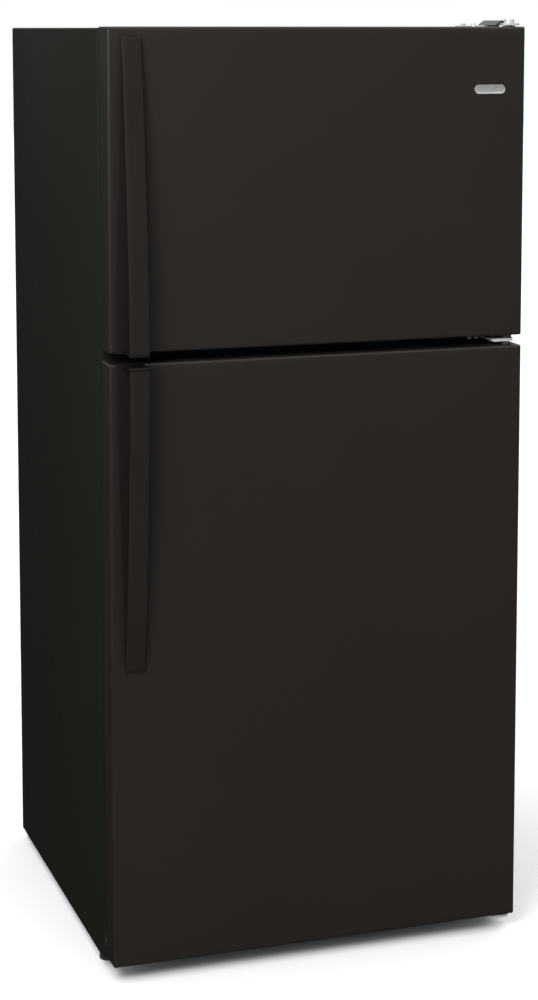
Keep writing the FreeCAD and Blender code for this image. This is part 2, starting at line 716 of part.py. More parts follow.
def light_bulb():
    """Appliance bulb lying in its socket above the lens."""
    ball = Part.makeSphere(17, vec(BULB_X, BULB_Y, BULB_Z))
    neck = rod((BULB_X - 44, BULB_Y, BULB_Z), (1, 0, 0), 36, 11)
    socket_x = (BULB_X - 62, BULB_X - 44)
    socket = block(socket_x, (BULB_Y - 15, BULB_Y + 15), (BULB_Z - 17, FRIDGE_Z[1]))
    return fuse([ball, neck, socket])


def control_knob(x):
    """Round knob with a pointer rib, on a spindle through the housing's front."""
    front = HOUSING_Y[0]
    cap = rod((x, front - 14, KNOB_Z), (0, 1, 0), 13.5, KNOB_RADIUS)
    cap = rounded(cap, 2, lambda edge: edge.BoundBox.YMax < front - 13.9)
    rib_z = (KNOB_Z - KNOB_RADIUS + 3, KNOB_Z + KNOB_RADIUS - 1)
    rib = block((x - 2.5, x + 2.5), (front - 19, front - 13), rib_z)
    spindle = rod((x, front - 1, KNOB_Z), (0, 1, 0), 14, SPINDLE_RADIUS)
    return fuse([cap, rib, spindle])


def light_switch_body():
    """Door switch block on the fridge ceiling, just behind the door's lining."""
    case_x = (SWITCH_X - 14, SWITCH_X + 14)
    case = block(case_x, (DYKE_Y + 12, DYKE_Y + 44), (SWITCH_Z - 10, FRIDGE_Z[1]))
    hole = rod((SWITCH_X, DYKE_Y, SWITCH_Z), (0, 1, 0), 40, PLUNGER_RADIUS + RUNNING)
    return case.cut(hole)


def light_switch_plunger():
    """Plunger that the closed door holds in."""
    tip = DYKE_Y + 0.3
    pin = rod((SWITCH_X, tip, SWITCH_Z), (0, 1, 0), 30, PLUNGER_RADIUS)
    return rounded(pin, 1.5, lambda edge: edge.BoundBox.YMax < tip + 0.1)


def freezer_shelf():
    """Coated wire shelf: wires from front to back on three cross wires."""
    reach = FREEZER_HALF - 3
    front, back = FREEZER_SHELF_Y
    level = FREEZER_SHELF_Z + 3
    across = [
        rod((-reach, y, level), (1, 0, 0), 2 * reach, 3) for y in (front, (front + back) / 2, back)
    ]
    pitch = (2 * reach - 12) / (FREEZER_SHELF_WIRES - 1)
    wires = [
        rod((-reach + 6 + pitch * i, front - 2, level + 3.5), (0, 1, 0), back - front + 4, 2)
        for i in range(FREEZER_SHELF_WIRES)
    ]
    return fuse(across + wires)


def shelf_frames():
    """Three moulded frames: the crisper cover and two shelves, with a thick front edge."""
    frames = []
    for height in SHELF_Z:
        xs = (-FRIDGE_HALF + 1, FRIDGE_HALF - 1)
        ys = (SHELF_FRONT_Y, FRIDGE_BACK_Y - 6)
        body = block(xs, ys, (height, height + SHELF_THICKNESS))
        body = rounded(body, 6, lambda edge: runs_along(edge, 2) and edge.BoundBox.YMax < 0)
        hole = block(
            (xs[0] + FRAME_EDGE, xs[1] - FRAME_EDGE),
            (ys[0] + FRAME_FRONT, ys[1] - FRAME_EDGE),
            (height - 1, height + SHELF_THICKNESS + 1),
        )
        rebate = block(
            (xs[0] + FRAME_EDGE - 6, xs[1] - FRAME_EDGE + 6),
            (ys[0] + FRAME_FRONT - 6, ys[1] - FRAME_EDGE + 6),
            (height + FRAME_SEAT, height + SHELF_THICKNESS + 1),
        )
        frames.append(cut(body, [hole, rebate]))
    return Part.makeCompound(frames)


def shelf_glass():
    """Three tempered panes lying in the frames' rebates."""
    return Part.makeCompound(
        [
            block(
                (-FRIDGE_HALF + FRAME_EDGE - 5, FRIDGE_HALF - FRAME_EDGE + 5),
                (SHELF_FRONT_Y + FRAME_FRONT - 6, FRIDGE_BACK_Y - FRAME_EDGE),
                (height + FRAME_SEAT, height + SHELF_THICKNESS),
            )
            for height in SHELF_Z
        ]
    )


def crisper(side):
    """Drawer with a deep tub and a front with a turned-out grip."""
    xs = sorted((side * 3.0, side * (FRIDGE_HALF - 6)))
    ys = (CRISPER_FRONT_Y, HUMP_Y - 4)
    body = tub(xs, ys, (CRISPER_FLOOR, CRISPER_TOP), BIN_WALL, 12.0)
    grip_x = (xs[0] + 50, xs[1] - 50)
    grip = block(grip_x, (ys[0] - 12, ys[0] + 1), (CRISPER_TOP - 34, CRISPER_TOP - 30))
    grip = rounded(grip, 6, lambda edge: runs_along(edge, 2) and edge.BoundBox.YMax < ys[0])
    drop_x = (grip_x[0] + 6, grip_x[1] - 6)
    drop = block(drop_x, (ys[0] - 12, ys[0] - 9), (CRISPER_TOP - 48, CRISPER_TOP - 33))
    return fuse([body, grip, drop])


# ---------------------------------------------------------------- hinges


def top_hinge():
    """Steel bracket on the cabinet top with the freezer door's upper pin."""
    plate = block(HINGE_PLATE_X, HINGE_PLATE_Y, (CABINET_TOP, TOP_PLATE_Z))
    plate = rounded(plate, 8, lambda edge: runs_along(edge, 2))
    arm_top = TOP_PLATE_Z + HINGE_ARM
    neck_y = HINGE_COVER_Y[0] - 1
    outline = [
        (HINGE_ARM_X[0], HINGE_STEP_Y),
        (HINGE_ARM_X[0], neck_y),
        (PIVOT_X - 14, PIVOT_Y - 6),
        (PIVOT_X - 6, PIVOT_Y - 16),
        (PIVOT_X + 10, PIVOT_Y - 16),
        (PIVOT_X + 16, PIVOT_Y - 8),
        (PIVOT_X + 16, PIVOT_Y + 3),
        (HINGE_ARM_X[1], neck_y),
        (HINGE_ARM_X[1], HINGE_STEP_Y),
    ]
    arm = slab(outline, "z", TOP_PLATE_Z, arm_top)
    step = block(HINGE_ARM_X, (FRONT_Y + 9, HINGE_STEP_Y), (CABINET_TOP, arm_top))
    boss = rod((PIVOT_X, PIVOT_Y, arm_top), (0, 0, 1), HINGE_BOSS, 9)
    boss = rounded(boss, 2, lambda edge: edge.BoundBox.ZMin > arm_top + HINGE_BOSS - 1)
    pin = rod((PIVOT_X, PIVOT_Y, TOP_PLATE_Z - 28), (0, 0, 1), 30, PIN_RADIUS)
    return fuse([plate, step, arm, boss, pin])


def top_hinge_cover():
    """Moulded cap with one sloping side, clipped over the bracket's arm."""
    low = TOP_PLATE_Z + 0.3
    top = HINGE_COVER_TOP
    wall = 2
    left, right = HINGE_COVER_X
    ys = HINGE_COVER_Y
    outline = [(left, low), (right, low), (right - 2, top), (left + 12, top)]
    hollow = [
        (left + wall + 0.5, low - 1),
        (right - wall, low - 1),
        (right - wall - 2, top - wall),
        (left + 12 + wall / 2, top - wall),
    ]
    outer = slab(outline, "y", ys[0], ys[1])
    inner = slab(hollow, "y", ys[0] + wall, ys[1] - wall)
    mouth_x = (HINGE_ARM_X[0] - 0.5, HINGE_ARM_X[1] + 0.5)
    mouth = block(mouth_x, (ys[0] - 1, ys[0] + wall + 1), (low - 1, TOP_PLATE_Z + HINGE_ARM + 0.5))
    return cut(outer, [inner, mouth])


def centre_hinge():
    """Steel plate on the mullion with a pin up for one door and down for the other."""
    flange = block(CENTRE_FLANGE_X, (FRONT_Y - 3, FRONT_Y), (CENTRE_Z - 9.5, CENTRE_Z + 9.5))
    left, right = CENTRE_PLATE_X
    tip = CENTRE_PLATE_TIP_Y
    outline = [
        (left, FRONT_Y),
        (left, tip + 4),
        (left + 4, tip),
        (right - 4, tip),
        (right, tip + 8),
        (right, FRONT_Y),
    ]
    plate = slab(outline, "z", CENTRE_Z - 2.5, CENTRE_Z + 2.5)
    pin = rod((PIVOT_X, PIVOT_Y, CENTRE_Z - 32), (0, 0, 1), 64, PIN_RADIUS)
    return fuse([flange, plate, pin])


def bottom_hinge():
    """Steel angle on the right-hand rail with the fridge door's lower pin."""
    top = BOTTOM_PLATE_TOP
    flange = block((RAIL_INNER + 1, 372), (FRONT_Y + 2, FRONT_Y + 6), (top - 5, BASE_TOP - 8))
    plate = block((RAIL_INNER + 1, 372), (PIVOT_Y - 14, FRONT_Y + 6), (top - 5, top))
    plate = rounded(plate, 8, lambda edge: runs_along(edge, 2) and edge.BoundBox.YMax < PIVOT_Y)
    pin = rod((PIVOT_X, PIVOT_Y, top - 5), (0, 0, 1), 35, PIN_RADIUS)
    return fuse([flange, plate, pin])


def hinge_screws():
    """Hexagon heads of the screws in the three hinges."""

    def upright(x, y):
        return hexagon((x, y), "z", SCREW_RADIUS, TOP_PLATE_Z, TOP_PLATE_Z + SCREW_HEAD)

    def facing(x, z, seat):
        return hexagon((x, z), "y", SCREW_RADIUS, seat - SCREW_HEAD, seat)

    top = [upright(HINGE_PLATE_X[0] + 12, y) for y in HINGE_SCREWS_Y]
    centre = [facing(x, CENTRE_Z, FRONT_Y - 3) for x in (304, 318)]
    bottom = [facing(350, z, FRONT_Y + 2) for z in (40, 68)]
    return Part.makeCompound(top + centre + bottom)


# ---------------------------------------------------------------- doors


def door_shell(zs):
    """Folded steel door pan with rounded front edges, open at the back inside a return."""
    half = WIDTH / 2
    front = DOOR_FRONT_Y
    outer = block((-half, half), (front, DOOR_REAR_Y), zs)
    outer = rounded(outer, DOOR_EDGE_RADIUS, lambda edge: edge.BoundBox.YMax < front + 0.1)
    inner = block(
        (-half + STEEL, half - STEEL),
        (front + STEEL, DOOR_REAR_Y - STEEL),
        (zs[0] + STEEL, zs[1] - STEEL),
    )
    inner = rounded(
        inner,
        DOOR_EDGE_RADIUS - STEEL,
        lambda edge: edge.BoundBox.YMax < front + STEEL + 0.1,
    )
    mouth = block(
        (-half + REAR_FLANGE, half - REAR_FLANGE),
        (DOOR_REAR_Y - 5, DOOR_REAR_Y + 1),
        (zs[0] + REAR_FLANGE, zs[1] - REAR_FLANGE),
    )
    pins = rod((PIVOT_X, PIVOT_Y, zs[0] - 5), (0, 0, 1), zs[1] - zs[0] + 10, BUSHING_RADIUS)
    return cut(outer, [inner, mouth, pins])


def dyke_ring(half, zs, shrink, ys):
    """Upright ring around the shelves on a door's lining, made thinner by a wall."""
    outer = block((-half + shrink, half - shrink), ys, (zs[0] + shrink, zs[1] - shrink))
    width = DYKE_WIDTH - shrink
    inner = block(
        (-half + width, half - width), (ys[0] - 1, ys[1] + 1), (zs[0] + width, zs[1] - width)
    )
    return outer.cut(inner)


def door_foam(zs, half, dyke_z):
    """Foam that fills a door's pan and the ring of its lining."""
    edge = WIDTH / 2 - STEEL
    body = block(
        (-edge, edge),
        (DOOR_FRONT_Y + STEEL, DOOR_REAR_Y - LINER - 0.1),
        (zs[0] + STEEL, zs[1] - STEEL),
    )
    body = rounded(
        body,
        DOOR_EDGE_RADIUS - STEEL,
        lambda line: line.BoundBox.YMax < DOOR_FRONT_Y + STEEL + 0.1,
    )
    ring = dyke_ring(half, dyke_z, LINER, (DOOR_REAR_Y - 8, DYKE_Y - LINER))
    pockets = [
        rod((PIVOT_X, PIVOT_Y, z), (0, 0, 1), BUSHING_LENGTH + 10, BUSHING_RADIUS)
        for z in (zs[0] - 8, zs[1] - BUSHING_LENGTH - 2)
    ]
    return cut(fuse([body, ring]), pockets)


def door_liner(zs, half, dyke_z):
    """Moulded door lining: a flat back with a raised ring that holds the bins."""
    reach = WIDTH / 2 - REAR_FLANGE
    sheet_z = (zs[0] + REAR_FLANGE, zs[1] - REAR_FLANGE)
    sheet = block((-reach, reach), (DOOR_REAR_Y - LINER, DOOR_REAR_Y), sheet_z)
    ring = dyke_ring(half, dyke_z, 0, (DOOR_REAR_Y - LINER, DYKE_Y))
    core = dyke_ring(half, dyke_z, LINER, (DOOR_REAR_Y - 8, DYKE_Y - LINER))
    return fuse([sheet, ring]).cut(core)


def door_gasket(zs):
    """Magnetic seal around a door's lining; zs are its outer heights."""
    outer_x = PIVOT_X - 2
    ys = (DOOR_REAR_Y, FRONT_Y - 0.3)
    ring = block((-outer_x, outer_x), ys, zs)
    hole = block(
        (-outer_x + GASKET_WIDTH, outer_x - GASKET_WIDTH),
        (ys[0] - 1, ys[1] + 1),
        (zs[0] + GASKET_WIDTH, zs[1] - GASKET_WIDTH),
    )
    return ring.cut(hole)


def door_bins(half, levels, depth, height):
    """Bins that hang between the sides of the lining's ring."""
    reach = half - DYKE_WIDTH
    return Part.makeCompound(
        [
            tub((-reach, reach), (DOOR_REAR_Y, DOOR_REAR_Y + depth), (z, z + height), BIN_WALL, BIN_CORNER)
            for z in levels
        ]
    )


def butter_box():
    """Compartment in the fridge door, open towards the shelves."""
    ys = (DOOR_REAR_Y, BUTTER_REAR_Y)
    outer = block(BUTTER_X, ys, (BUTTER_Z[0], BUTTER_Z[1]))
    inner = block(
        (BUTTER_X[0] + BIN_WALL, BUTTER_X[1] - BIN_WALL),
        (ys[0] - 1, ys[1] + 1),
        (BUTTER_Z[0] + BIN_WALL, BUTTER_Z[1] - BIN_WALL),
    )
    pin_z = BUTTER_Z[1] - 6
    ears = [
        block(xs, (BUTTER_REAR_Y - 1, BUTTER_REAR_Y + 10), (pin_z - 5, pin_z + 5))
        for xs in (
            (BUTTER_X[0], BUTTER_X[0] + BIN_WALL),
            (BUTTER_X[1] - BIN_WALL, BUTTER_X[1]),
        )
    ]
    width = BUTTER_X[1] - BUTTER_X[0]
    start = (BUTTER_X[0] - 1, BUTTER_REAR_Y + 5, pin_z)
    holes = rod(start, (1, 0, 0), width + 2, BUTTER_LID_PIN + RUNNING)
    return fuse([outer.cut(inner)] + ears).cut(holes)


def butter_lid():
    """Flap of the butter compartment, hinged along its top on two pins."""
    pin_z = BUTTER_Z[1] - 6
    y = BUTTER_REAR_Y + 5
    xs = (BUTTER_X[0] + BIN_WALL + 0.5, BUTTER_X[1] - BIN_WALL - 0.5)
    flap = block(xs, (y - 2, y + 0.5), (BUTTER_Z[0] + 1, pin_z))
    barrel = rod((xs[0], y, pin_z), (1, 0, 0), xs[1] - xs[0], 4)
    pins = rod(
        (BUTTER_X[0] + 0.2, y, pin_z), (1, 0, 0), BUTTER_X[1] - BUTTER_X[0] - 0.4, BUTTER_LID_PIN
    )
    lip = block((xs[0] + 60, xs[1] - 60), (y, y + 10), (BUTTER_Z[0] + 1, BUTTER_Z[0] + 4))
    return fuse([flap, barrel, pins, lip])


def door_bushings(zs, low_flange, high_flange):
    """Flanged plastic bushings for the hinge pins, at a door's foot and head."""
    low = fuse(
        [
            rod((PIVOT_X, PIVOT_Y, zs[0]), (0, 0, 1), BUSHING_LENGTH, BUSHING_RADIUS),
            rod((PIVOT_X, PIVOT_Y, zs[0] - low_flange), (0, 0, 1), low_flange, BUSHING_FLANGE_RADIUS),
        ]
    )
    high = fuse(
        [
            rod((PIVOT_X, PIVOT_Y, zs[1] - BUSHING_LENGTH), (0, 0, 1), BUSHING_LENGTH, BUSHING_RADIUS),
            rod((PIVOT_X, PIVOT_Y, zs[1]), (0, 0, 1), high_flange, BUSHING_FLANGE_RADIUS),
        ]
    )
    bores = [
        rod((PIVOT_X, PIVOT_Y, z), (0, 0, 1), BUSHING_LENGTH + 8, PIN_RADIUS + RUNNING)
        for z in (zs[0] - 10, zs[1] - BUSHING_LENGTH + 2)
    ]
    return Part.makeCompound([cut(low, bores), cut(high, bores)])


def handle_curve(rises, gap_z, way):
    """Smooth curve of distance along the door against height above it."""
    spline = Part.BSplineCurve()
    spline.interpolate([vec(0, DOOR_FRONT_Y - rise, gap_z + way * along) for along, rise in rises])
    return spline.toShape()


def handle_side(rises, base, gap_z, way, xs):
    """Prism under a handle's curve, from the door's face or a level above it."""
    curve = handle_curve(rises, gap_z, way)
    first, last = rises[0], rises[-1]
    foot_first = vec(0, DOOR_FRONT_Y - base, gap_z + way * first[0])
    foot_last = vec(0, DOOR_FRONT_Y - base, gap_z + way * last[0])
    top_first = vec(0, DOOR_FRONT_Y - first[1], gap_z + way * first[0])
    top_last = vec(0, DOOR_FRONT_Y - last[1], gap_z + way * last[0])
    edges = [
        curve,
        Part.makeLine(top_last, foot_last),
        Part.makeLine(foot_last, foot_first),
        Part.makeLine(foot_first, top_first),
    ]
    prism = Part.Face(Part.Wire(Part.__sortEdges__(edges))).extrude(vec(xs[1] - xs[0], 0, 0))
    prism.translate(vec(xs[0], 0, 0))
    return prism


def door_handle(gap_z, way):
    """Wedge-shaped pull: highest at the gap between the doors, nearly flush at its far end."""
    length = HANDLE_LENGTH
    rises = [
        (0, HANDLE_RISE),
        (0.18 * length, HANDLE_RISE - 2.5),
        (0.4 * length, 0.8 * HANDLE_RISE),
        (0.65 * length, 0.58 * HANDLE_RISE),
        (0.86 * length, 0.36 * HANDLE_RISE),
        (length, 0.14 * HANDLE_RISE),
    ]
    body = handle_side(rises, 0, gap_z, way, HANDLE_FACE_X)
    inner = [(HANDLE_WALL, HANDLE_RISE - HANDLE_WALL)]
    inner += [(along, rise - HANDLE_WALL) for along, rise in rises[1:-1]]
    inner += [(0.95 * length, 0.22 * HANDLE_RISE - HANDLE_WALL)]
    open_x = (HANDLE_FACE_X[0] - 1, HANDLE_FACE_X[1] - HANDLE_WALL)
    channel = handle_side(inner, HANDLE_BASE, gap_z, way, open_x)
    lips = [
        (HANDLE_FACE_X[0] + 6, gap_z),
        (HANDLE_FACE_X[0] - HANDLE_LIP, gap_z),
        (HANDLE_FACE_X[0] - HANDLE_LIP, gap_z + way * 0.2 * length),
        (HANDLE_FACE_X[0] - 0.45 * HANDLE_LIP, gap_z + way * 0.6 * length),
        (HANDLE_FACE_X[0], gap_z + way * length),
        (HANDLE_FACE_X[0] + 6, gap_z + way * length),
    ]
    lip = slab(lips, "y", DOOR_FRONT_Y - HANDLE_BASE, DOOR_FRONT_Y)
    return fuse([body.cut(channel), lip])


def badge():
    """Small plain oval badge near the freezer door's upper right corner."""
    plate = block((282, 340), (DOOR_FRONT_Y - 1.5, DOOR_FRONT_Y), (1531, 1547))
    return rounded(plate, 7.9, lambda edge: runs_along(edge, 1))


FREEZER_DYKE = (FREEZER_Z[0] + DYKE_GAP, FREEZER_Z[1] - DYKE_GAP)
FRIDGE_DYKE = (FRIDGE_Z[0] + DYKE_GAP, FRIDGE_Z[1] - DYKE_GAP)
FREEZER_DYKE_HALF = FREEZER_HALF - DYKE_GAP
FRIDGE_DYKE_HALF = FRIDGE_HALF - DYKE_GAP

PIECES = {
    "cabinet_wrapper": cabinet_wrapper(),
    "cabinet_back_panel": cabinet_back_panel(),
    "cabinet_foam": cabinet_foam(),
    "freezer_liner": freezer_liner(),
    "fresh_food_liner": fresh_food_liner(),
    "mullion_rail": mullion_rail(),
    "base_frame": base_frame(),
    "levelling_foot_left": levelling_foot(-1),
    "levelling_foot_right": levelling_foot(1),
    "rear_roller_left": rear_roller(-1),
    "rear_roller_right": rear_roller(1),
    "compressor_tray": compressor_tray(),
    "toe_grille": toe_grille(),
    "compressor": compressor(),
    "compressor_grommets": compressor_grommets(),
    "condenser_coil": condenser_coil(),
    "fan_motors": fan_motors(),
    "condenser_fan_blade": condenser_fan_blade(),
    "evaporator_fan_blade": evaporator_fan_blade(),
    "drain_pan": drain_pan(),
    "refrigerant_lines": refrigerant_lines(),
    "rear_access_cover": rear_access_cover(),
    "cord_gland": cord_gland(),
    "evaporator_coil": evaporator_coil(),
    "defrost_heater": defrost_heater(),
    "evaporator_cover": evaporator_cover(),
    "control_housing": control_housing(),
    "light_cover": light_cover(),
    "light_bulb": light_bulb(),
    "fridge_control_knob": control_knob(-KNOB_X),
    "freezer_control_knob": control_knob(KNOB_X),
    "light_switch_body": light_switch_body(),
    "light_switch_plunger": light_switch_plunger(),
    "freezer_shelf": freezer_shelf(),
    "shelf_frames": shelf_frames(),
    "shelf_glass": shelf_glass(),
    "crisper_left": crisper(-1),
    "crisper_right": crisper(1),
    "top_hinge": top_hinge(),
    "top_hinge_cover": top_hinge_cover(),
    "centre_hinge": centre_hinge(),
    "bottom_hinge": bottom_hinge(),
    "hinge_screws": hinge_screws(),
    "freezer_door_shell": door_shell(FREEZER_DOOR_Z),
    "freezer_door_foam": door_foam(FREEZER_DOOR_Z, FREEZER_DYKE_HALF, FREEZER_DYKE),
    "freezer_door_liner": door_liner(FREEZER_DOOR_Z, FREEZER_DYKE_HALF, FREEZER_DYKE),
    "freezer_door_gasket": door_gasket(FREEZER_SEAL_Z),
    "freezer_door_bins": door_bins(
        FREEZER_DYKE_HALF, FREEZER_BIN_Z, FREEZER_BIN_DEPTH, FREEZER_BIN_HEIGHT
    ),
    "freezer_door_bushings": door_bushings(FREEZER_DOOR_Z, 6.2, 1.7),
    "freezer_door_handle": door_handle(FREEZER_DOOR_Z[0], 1),
    "badge": badge(),
    "fridge_door_shell": door_shell(FRIDGE_DOOR_Z),
    "fridge_door_foam": door_foam(FRIDGE_DOOR_Z, FRIDGE_DYKE_HALF, FRIDGE_DYKE),
    "fridge_door_liner": door_liner(FRIDGE_DOOR_Z, FRIDGE_DYKE_HALF, FRIDGE_DYKE),
    "fridge_door_gasket": door_gasket(FRIDGE_SEAL_Z),
    "fridge_door_bins": door_bins(
        FRIDGE_DYKE_HALF, FRIDGE_BIN_Z, FRIDGE_BIN_DEPTH, FRIDGE_BIN_HEIGHT
    ),
    "fridge_door_bushings": door_bushings(FRIDGE_DOOR_Z, 2.7, 3.0),
    "butter_box": butter_box(),
    "butter_lid": butter_lid(),
    "fridge_door_handle": door_handle(FRIDGE_DOOR_Z[1], -1),
}

os.makedirs("parts", exist_ok=True)
for name, shape in PIECES.items():
    if not shape.isValid():
        print("not valid:", name)
    shape.exportStep("parts/" + name + ".step")
    box = shape.BoundBox
    print(
        f"{name:24s} solids {len(shape.Solids):2d} volume {shape.Volume / 1000:10.1f} cm3"
        f"  x {box.XMin:7.1f} {box.XMax:7.1f}  y {box.YMin:7.1f} {box.YMax:7.1f}"
        f"  z {box.ZMin:7.1f} {box.ZMax:7.1f}"
    )
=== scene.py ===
import math

import bmesh
import bpy
import numpy as np
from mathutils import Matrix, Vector


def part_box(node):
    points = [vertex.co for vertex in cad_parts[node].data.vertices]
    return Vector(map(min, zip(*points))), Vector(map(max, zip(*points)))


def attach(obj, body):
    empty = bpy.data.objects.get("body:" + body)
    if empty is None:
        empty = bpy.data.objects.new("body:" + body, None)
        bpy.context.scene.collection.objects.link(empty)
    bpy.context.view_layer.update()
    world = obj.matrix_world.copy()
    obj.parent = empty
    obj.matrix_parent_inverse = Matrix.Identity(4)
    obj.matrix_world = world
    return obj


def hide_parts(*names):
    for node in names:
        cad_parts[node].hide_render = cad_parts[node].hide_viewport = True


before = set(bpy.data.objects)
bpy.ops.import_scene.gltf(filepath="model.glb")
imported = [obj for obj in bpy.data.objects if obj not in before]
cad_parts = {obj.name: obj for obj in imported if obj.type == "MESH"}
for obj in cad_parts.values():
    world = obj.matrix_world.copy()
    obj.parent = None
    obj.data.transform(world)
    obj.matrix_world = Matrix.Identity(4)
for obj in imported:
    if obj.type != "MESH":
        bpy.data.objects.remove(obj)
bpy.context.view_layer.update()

# ---------------------------------------------------------------- cabinet case
# The outer case is one sheet of steel, folded over the two sides and the top, with a wide
# return at the front for the door seals and a narrow one at the back. Its black paint is
# rolled to a fine pebble, which hides dents.

MM = 0.001
CASE_SHEET = 1.2 * MM
CASE_FOLD = 1.5 * MM
CASE_CORNER = 3.0 * MM
FRONT_RETURN = 40.0 * MM
BACK_RETURN = 15.0 * MM
TOE_HEIGHT = 88.0 * MM


class Finish:
    """A surface's node tree: a shader, and textures laid out in Object coordinates."""

    def __init__(self, name, colour, roughness, metallic=0.0):
        self.material = bpy.data.materials.new(name)
        self.material.use_nodes = True
        self.tree = self.material.node_tree
        self.shader = self.tree.nodes["Principled BSDF"]
        self.shader.inputs["Base Color"].default_value = (*colour, 1)
        self.shader.inputs["Roughness"].default_value = roughness
        self.shader.inputs["Metallic"].default_value = metallic
        self.place = self.tree.nodes.new("ShaderNodeTexCoord")
        self.bump = None

    def noise(self, scale, detail=3.0, stretch=(1, 1, 1)):
        """Cloudy values from 0 to 1; scale is in waves per metre, stretch scales each axis."""
        spread = self.tree.nodes.new("ShaderNodeMapping")
        spread.inputs["Scale"].default_value = stretch
        self.tree.links.new(self.place.outputs["Object"], spread.inputs["Vector"])
        clouds = self.tree.nodes.new("ShaderNodeTexNoise")
        clouds.inputs["Scale"].default_value = scale
        clouds.inputs["Detail"].default_value = detail
        self.tree.links.new(spread.outputs["Vector"], clouds.inputs["Vector"])
        return clouds.outputs["Fac"]

    def cells(self, scale):
        """Rounded cells whose value falls from edge to middle."""
        grains = self.tree.nodes.new("ShaderNodeTexVoronoi")
        grains.feature = "SMOOTH_F1"
        grains.inputs["Scale"].default_value = scale
        self.tree.links.new(self.place.outputs["Object"], grains.inputs["Vector"])
        return grains.outputs["Distance"]

    def tint(self, pattern, low, high, span=(0.35, 0.65)):
        """Base colour that runs from low to high as the pattern crosses the span."""
        ramp = self.tree.nodes.new("ShaderNodeValToRGB")
        for stop, colour, place in zip(ramp.color_ramp.elements, (low, high), span):
            stop.position = place
            stop.color = (*colour, 1)
        self.tree.links.new(pattern, ramp.inputs["Fac"])
        self.tree.links.new(ramp.outputs["Color"], self.shader.inputs["Base Color"])

    def polish(self, pattern, low, high, span=(0.3, 0.7)):
        """Roughness that runs from low to high as the pattern crosses the span."""
        spread = self.tree.nodes.new("ShaderNodeMapRange")
        limits = {"From Min": span[0], "From Max": span[1], "To Min": low, "To Max": high}
        for socket, value in limits.items():
            spread.inputs[socket].default_value = value
        self.tree.links.new(pattern, spread.inputs["Value"])
        self.tree.links.new(spread.outputs["Result"], self.shader.inputs["Roughness"])

    def relief(self, pattern, height, strength=1.0):
        """Bump of a height in metres, laid over any earlier one."""
        node = self.tree.nodes.new("ShaderNodeBump")
        node.inputs["Distance"].default_value = height
        node.inputs["Strength"].default_value = strength
        self.tree.links.new(pattern, node.inputs["Height"])
        if self.bump:
            self.tree.links.new(self.bump.outputs["Normal"], node.inputs["Normal"])
        self.tree.links.new(node.outputs["Normal"], self.shader.inputs["Normal"])
        self.bump = node

    def gloss(self, level):
        """Strength of the surface's clear reflection, the same all over."""
        self.shader.inputs["Specular IOR Level"].default_value = level


def pebbled_black():
    """Black paint over steel, rolled to a fine pebble, a little duller in patches."""
    paint = Finish("pebbled_black_paint", (0.0092, 0.0097, 0.0068), 0.45)
    paint.tint(paint.noise(3.0), (0.0088, 0.0093, 0.0065), (0.0096, 0.0101, 0.0071))
    paint.polish(paint.noise(30.0), 0.43, 0.47)
    paint.relief(paint.cells(420.0), 0.00008, 0.3)
    paint.gloss(0.12)
    return paint.material


def set_down(name, work, mesh, sharp):
    """Object of a worked mesh, shaded smooth but for edges sharper than an angle in degrees."""
    work.to_mesh(mesh)
    work.free()
    mesh.polygons.foreach_set("use_smooth", [True] * len(mesh.polygons))
    mesh.set_sharp_from_angle(angle=math.radians(sharp))
    piece = bpy.data.objects.new(name, mesh)
    bpy.context.scene.collection.objects.link(piece)
    return piece


def skin(name, *stacks, caps=True, wrap=False, sharp=35):
    """Mesh over stacks of equal loops: quads join each point to its neighbours.

    Flat caps close the first and last loop of a stack, or it is wrapped onto itself. Points
    that meet are merged, and the faces are turned outwards.
    """
    points, faces, start = [], [], 0
    for loops in stacks:
        rows, cols = np.shape(loops)[:2]
        index = start + np.arange(rows * cols).reshape(rows, cols)
        ahead = np.roll(index, -1, axis=0) if wrap else index[1:]
        here = index if wrap else index[:-1]
        quads = np.stack([here, np.roll(here, -1, 1), np.roll(ahead, -1, 1), ahead], axis=-1)
        faces += quads.reshape(-1, 4).tolist()
        if caps and not wrap:
            faces += [index[0, ::-1].tolist(), index[-1].tolist()]
        points.append(np.reshape(loops, (-1, 3)))
        start += rows * cols
    mesh = bpy.data.meshes.new(name)
    mesh.from_pydata(np.concatenate(points).tolist(), [], faces)
    work = bmesh.new()
    work.from_mesh(mesh)
    bmesh.ops.remove_doubles(work, verts=work.verts, dist=1e-6)
    bmesh.ops.recalc_face_normals(work, faces=work.faces)
    return set_down(name, work, mesh, sharp)


def fit(piece, finish, body, *nodes, slot=None):
    """Give a piece its finish, let it ride on a body and stand for its CAD nodes.

    A piece that stands for none passes, as slot, the node whose material slot it shares; slot is
    not used.
    """
    piece.data.materials.clear()
    piece.data.materials.append(finish)
    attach(piece, body)
    if nodes:
        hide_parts(*nodes)


